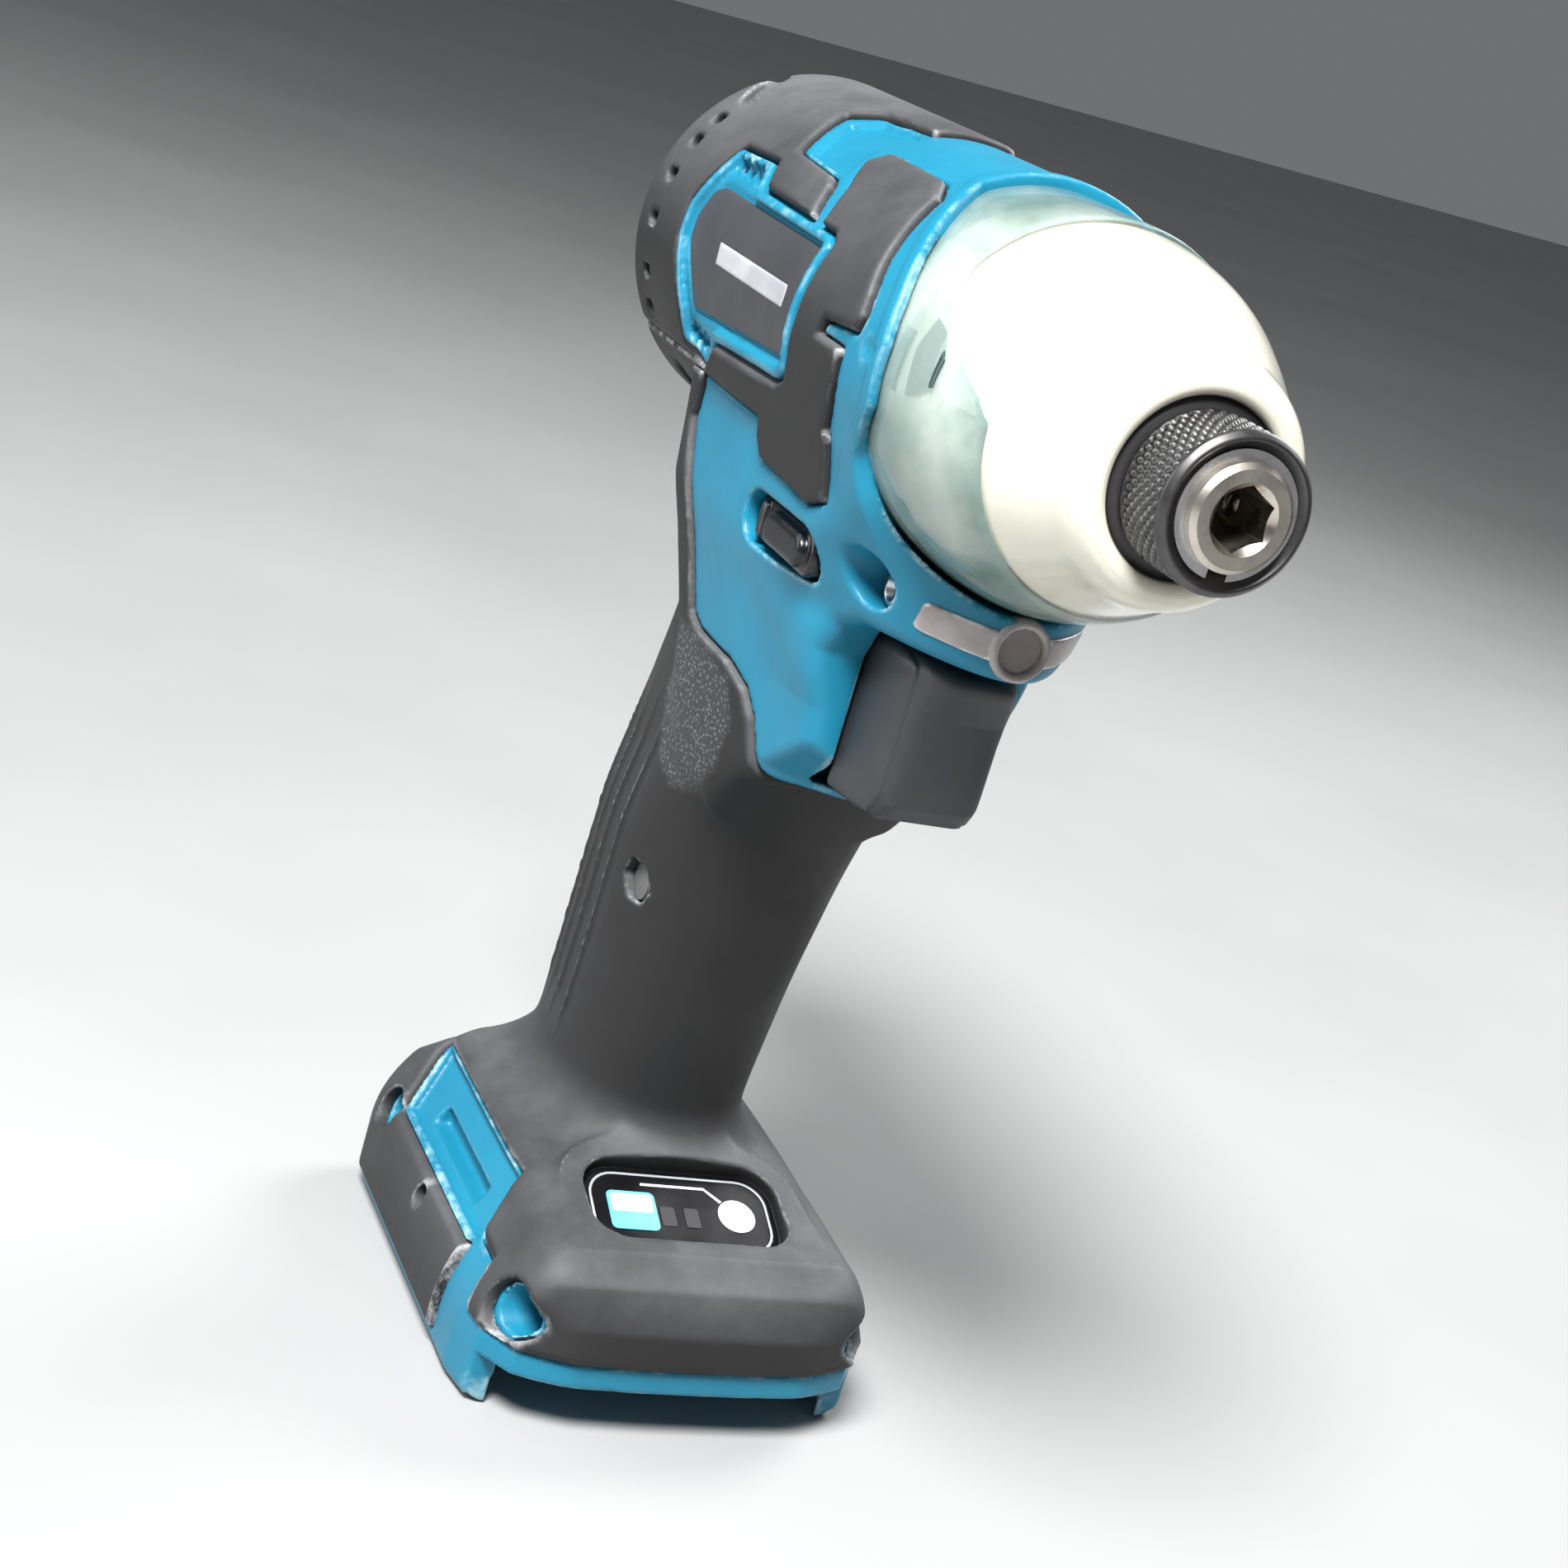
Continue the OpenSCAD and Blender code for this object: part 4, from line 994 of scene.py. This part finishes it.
def build_panel(looks):
    """Control panel with a printed border, a blank tile, two windows and the mode button."""
    def level(height):
        return lambda u, y, up: panel_place(u, y, up + height)

    slab("panel_face", round_rect(-7.3, 7.3, -14.5, 14.5, 5), level(0.1), 1.2,
         looks["gloss_black"], "gloss_black", 0.5, node="control_panel")
    slab("panel_gasket", round_rect(-7.9, 7.9, -15.1, 15.1, 5.5), level(-0.35), 0.8,
         looks["black_plastic"], "black_plastic", 0.3)
    outer = round_rect(-6.3, 6.3, -13.5, 13.5, 4.2)
    inner = round_rect(-5.95, 5.95, -13.15, 13.15, 3.9)
    n = len(outer)
    verts = [panel_place(u, y, 0.16) for u, y in outer + inner]
    verts += [panel_place(u, y, 0.02) for u, y in outer + inner]
    faces = []
    for i in range(n):
        j = (i + 1) % n
        faces += [(i, j, n + j, n + i), (2 * n + i, i, j, 2 * n + j)[::-1],
                  (n + i, 3 * n + i, 3 * n + j, n + j)[::-1],
                  (2 * n + i, 3 * n + i, 3 * n + j, 2 * n + j)]
    piece("panel_border", verts, faces, None, look=looks["strip_silver"], slot="white_film")
    slab("panel_tile", round_rect(-3.0, 3.6, -11.0, -3.8, 0.9), level(0.28), 0.25,
         looks["tile_blue"], "white_film", 0.08)
    slab("panel_tile_top", round_rect(-2.5, 0.6, -10.5, -4.3, 0.6), level(0.36), 0.2,
         looks["white_film"], "white_film", 0.08)
    for i, y in enumerate((-2.2, 1.4)):
        slab(f"panel_window_{i + 1}", round_rect(-0.8, 2.6, y - 1.1, y + 1.1, 0.4), level(0.2),
             0.2, looks["black_plastic"], "black_plastic", 0.05)
    slab("panel_line", round_rect(-4.6, -4.2, -5.5, 4.4, 0.15), level(0.2), 0.2,
         looks["white_film"], "white_film", 0.04)
    corner = [(-4.6, 4.2), (-4.2, 4.2), (-2.1, 6.2), (-2.4, 6.6)]
    slab("panel_line_end", corner, level(0.2), 0.2, looks["white_film"], "white_film", 0.04)


def build_lamp(looks):
    """Lamp ring and the two wing windows on the chin."""
    s = Space((84, -0.6, 120), (103, 14, 131), PITCH * 0.55)
    form = neck(s)
    wing = rounded(s.v - 6.4, s.z - 125.3 - 0.06 * s.v + 0 * s.x, 4.2, 1.9, 0.7)
    field = soft_max(soft_max(form - 0.35, wing, 0.3), -(form + 0.8), 0.2)
    ring = np.sqrt(s.v ** 2 + (s.z - LAMP_Z) ** 2)
    field = np.maximum(field, 3.6 - ring)
    made = sculpt("wing_right", s, field, node=None, look=looks["lamp_frame"], side=-1,
                  slot="lens")
    mirrored(made, "wing_left", None)
    verts, faces = [], []
    profile = [(98.0, 2.75), (98.0, 3.9), (99.7, 3.9), (100.2, 3.6), (100.3, 3.3), (100.1, 2.95),
               (99.6, 2.75)]
    n, steps = len(profile), 48
    for i in range(steps):
        a = 2 * math.pi * i / steps
        verts += [(x, r * math.sin(a), LAMP_Z + r * math.cos(a)) for x, r in profile]
        for k in range(n):
            m, j = (k + 1) % n, (i + 1) % steps
            faces.append((i * n + k, j * n + k, j * n + m, i * n + m)[::-1])
    piece("lamp_ring", verts, faces, None, look=looks["lamp_frame"], slot="lens")


def turned_across(profile, x, z, side, steps=24):
    """A body turned about an axis across the tool, from (v, radius) points."""
    verts, faces = [], []
    n = len(profile)
    for i in range(steps):
        a = 2 * math.pi * i / steps
        verts += [(x + r * math.cos(a), side * v, z + r * math.sin(a)) for v, r in profile]
        for k in range(n):
            m, j = (k + 1) % n, (i + 1) % steps
            faces.append((i * n + k, i * n + m, j * n + m, j * n + k)[::side])
    return verts, faces


def build_fasteners(looks):
    """Screw heads with a socket at the foot of their recesses, and the hook's insert."""
    verts, faces = [], []
    for x, z, depth in ((14, 131.9, 8.6), (86.6, 126.6, 10.1), (10, 14.5, 21), (43, 69, 8),
                        (47, 171, 8)):
        profile = [(depth - 12, 1.25), (depth, 1.3), (depth, 2.1), (depth + 1.3, 2.2),
                   (depth + 1.7, 1.9), (depth + 1.7, 1.2), (depth + 0.4, 1.1), (depth + 0.4, 0)]
        part, rings = turned_across(profile + [(depth - 12, 0)], x, z, -1)
        faces += [tuple(i + len(verts) for i in f) for f in rings]
        verts += part
    piece("screws", verts, faces, "housing_screws", look=looks["steel"], slot="steel")
    profile = [(22, 1.65), (26, 1.65), (26, 3.0), (22, 3.0)]
    verts, faces = turned_across(profile, 34, 13, -1)
    piece("hook_insert", verts, faces, "hook_nut", look=looks["brass"], slot="brass")


# ---------- stage ----------
def dress_nodes(looks):
    """Gives every CAD node that stays the procedural material of its slot."""
    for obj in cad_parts.values():
        name = obj.data.materials[0].name.split(".")[0] if obj.data.materials else "steel"
        obj.data.materials.clear()
        obj.data.materials.append(looks.get(name, looks["steel"]))


def area_light(name, place, target, size, power, tint=(1, 1, 1)):
    data = bpy.data.lights.new(name, "AREA")
    data.shape, data.size, data.energy, data.color = "DISK", size, power, tint
    obj = bpy.data.objects.new(name, data)
    bpy.context.scene.collection.objects.link(obj)
    obj.location = place
    aim = Vector(target) - Vector(place)
    obj.rotation_euler = aim.to_track_quat("-Z", "Y").to_euler()
    return obj


def build_stage():
    mesh = bpy.data.meshes.new("floor")
    mesh.from_pydata([(-4, -4, 0), (4, -4, 0), (4, 4, 0), (-4, 4, 0)], [], [(0, 1, 2, 3)])
    m = Look("floor")
    tone = m.mix(m.fit(m.noise(6, 3), 0.3, 0.7), (0.33, 0.33, 0.33), (0.37, 0.37, 0.37))
    m.set(Roughness=0.8)
    mesh.materials.append(m.finish(tone))
    floor = bpy.data.objects.new("floor", mesh)
    bpy.context.scene.collection.objects.link(floor)
    world = bpy.data.worlds.new("studio")
    bpy.context.scene.world = world
    world.use_nodes = True
    world.node_tree.nodes["Background"].inputs["Color"].default_value = (0.80, 0.82, 0.85, 1)
    world.node_tree.nodes["Background"].inputs["Strength"].default_value = 0.2
    area_light("key", (0.38, -0.36, 0.84), (0, 0, 0.11), 0.32, 24)
    area_light("fill", (-0.35, -0.85, 0.35), (0, 0, 0.10), 0.7, 4.0, (0.95, 0.98, 1))
    area_light("rim", (-0.3, 0.6, 0.6), (0, 0, 0.12), 0.4, 6)


def build_camera():
    """The photograph's viewpoint, rolled about 16 degrees as it was held."""
    right = Vector((0.3426, 0.8989, 0.2730))
    down = Vector((0.3772, 0.1345, -0.9163))
    forward = Vector((-0.8604, 0.4170, -0.2930))
    data = bpy.data.cameras.new("camera")
    data.sensor_width, data.lens, data.clip_start = 36, 63.74, 0.01
    camera = bpy.data.objects.new("camera", data)
    bpy.context.scene.collection.objects.link(camera)
    turn = Matrix((right, -down, -forward)).transposed().to_4x4()
    camera.matrix_world = Matrix.Translation((0.3045, -0.1562, 0.1979)) @ turn
    bpy.context.scene.camera = camera


bpy.context.scene.view_settings.view_transform = "Standard"
looks = build_looks()
dress_nodes(looks)
build_housing(looks)
build_plate(looks)
build_nose(looks)
build_clear_cover(looks)
build_patches(looks)
build_sleeve(looks)
build_trigger(looks)
build_lever(looks)
build_panel(looks)
build_lamp(looks)
build_fasteners(looks)
build_stage()
build_camera()
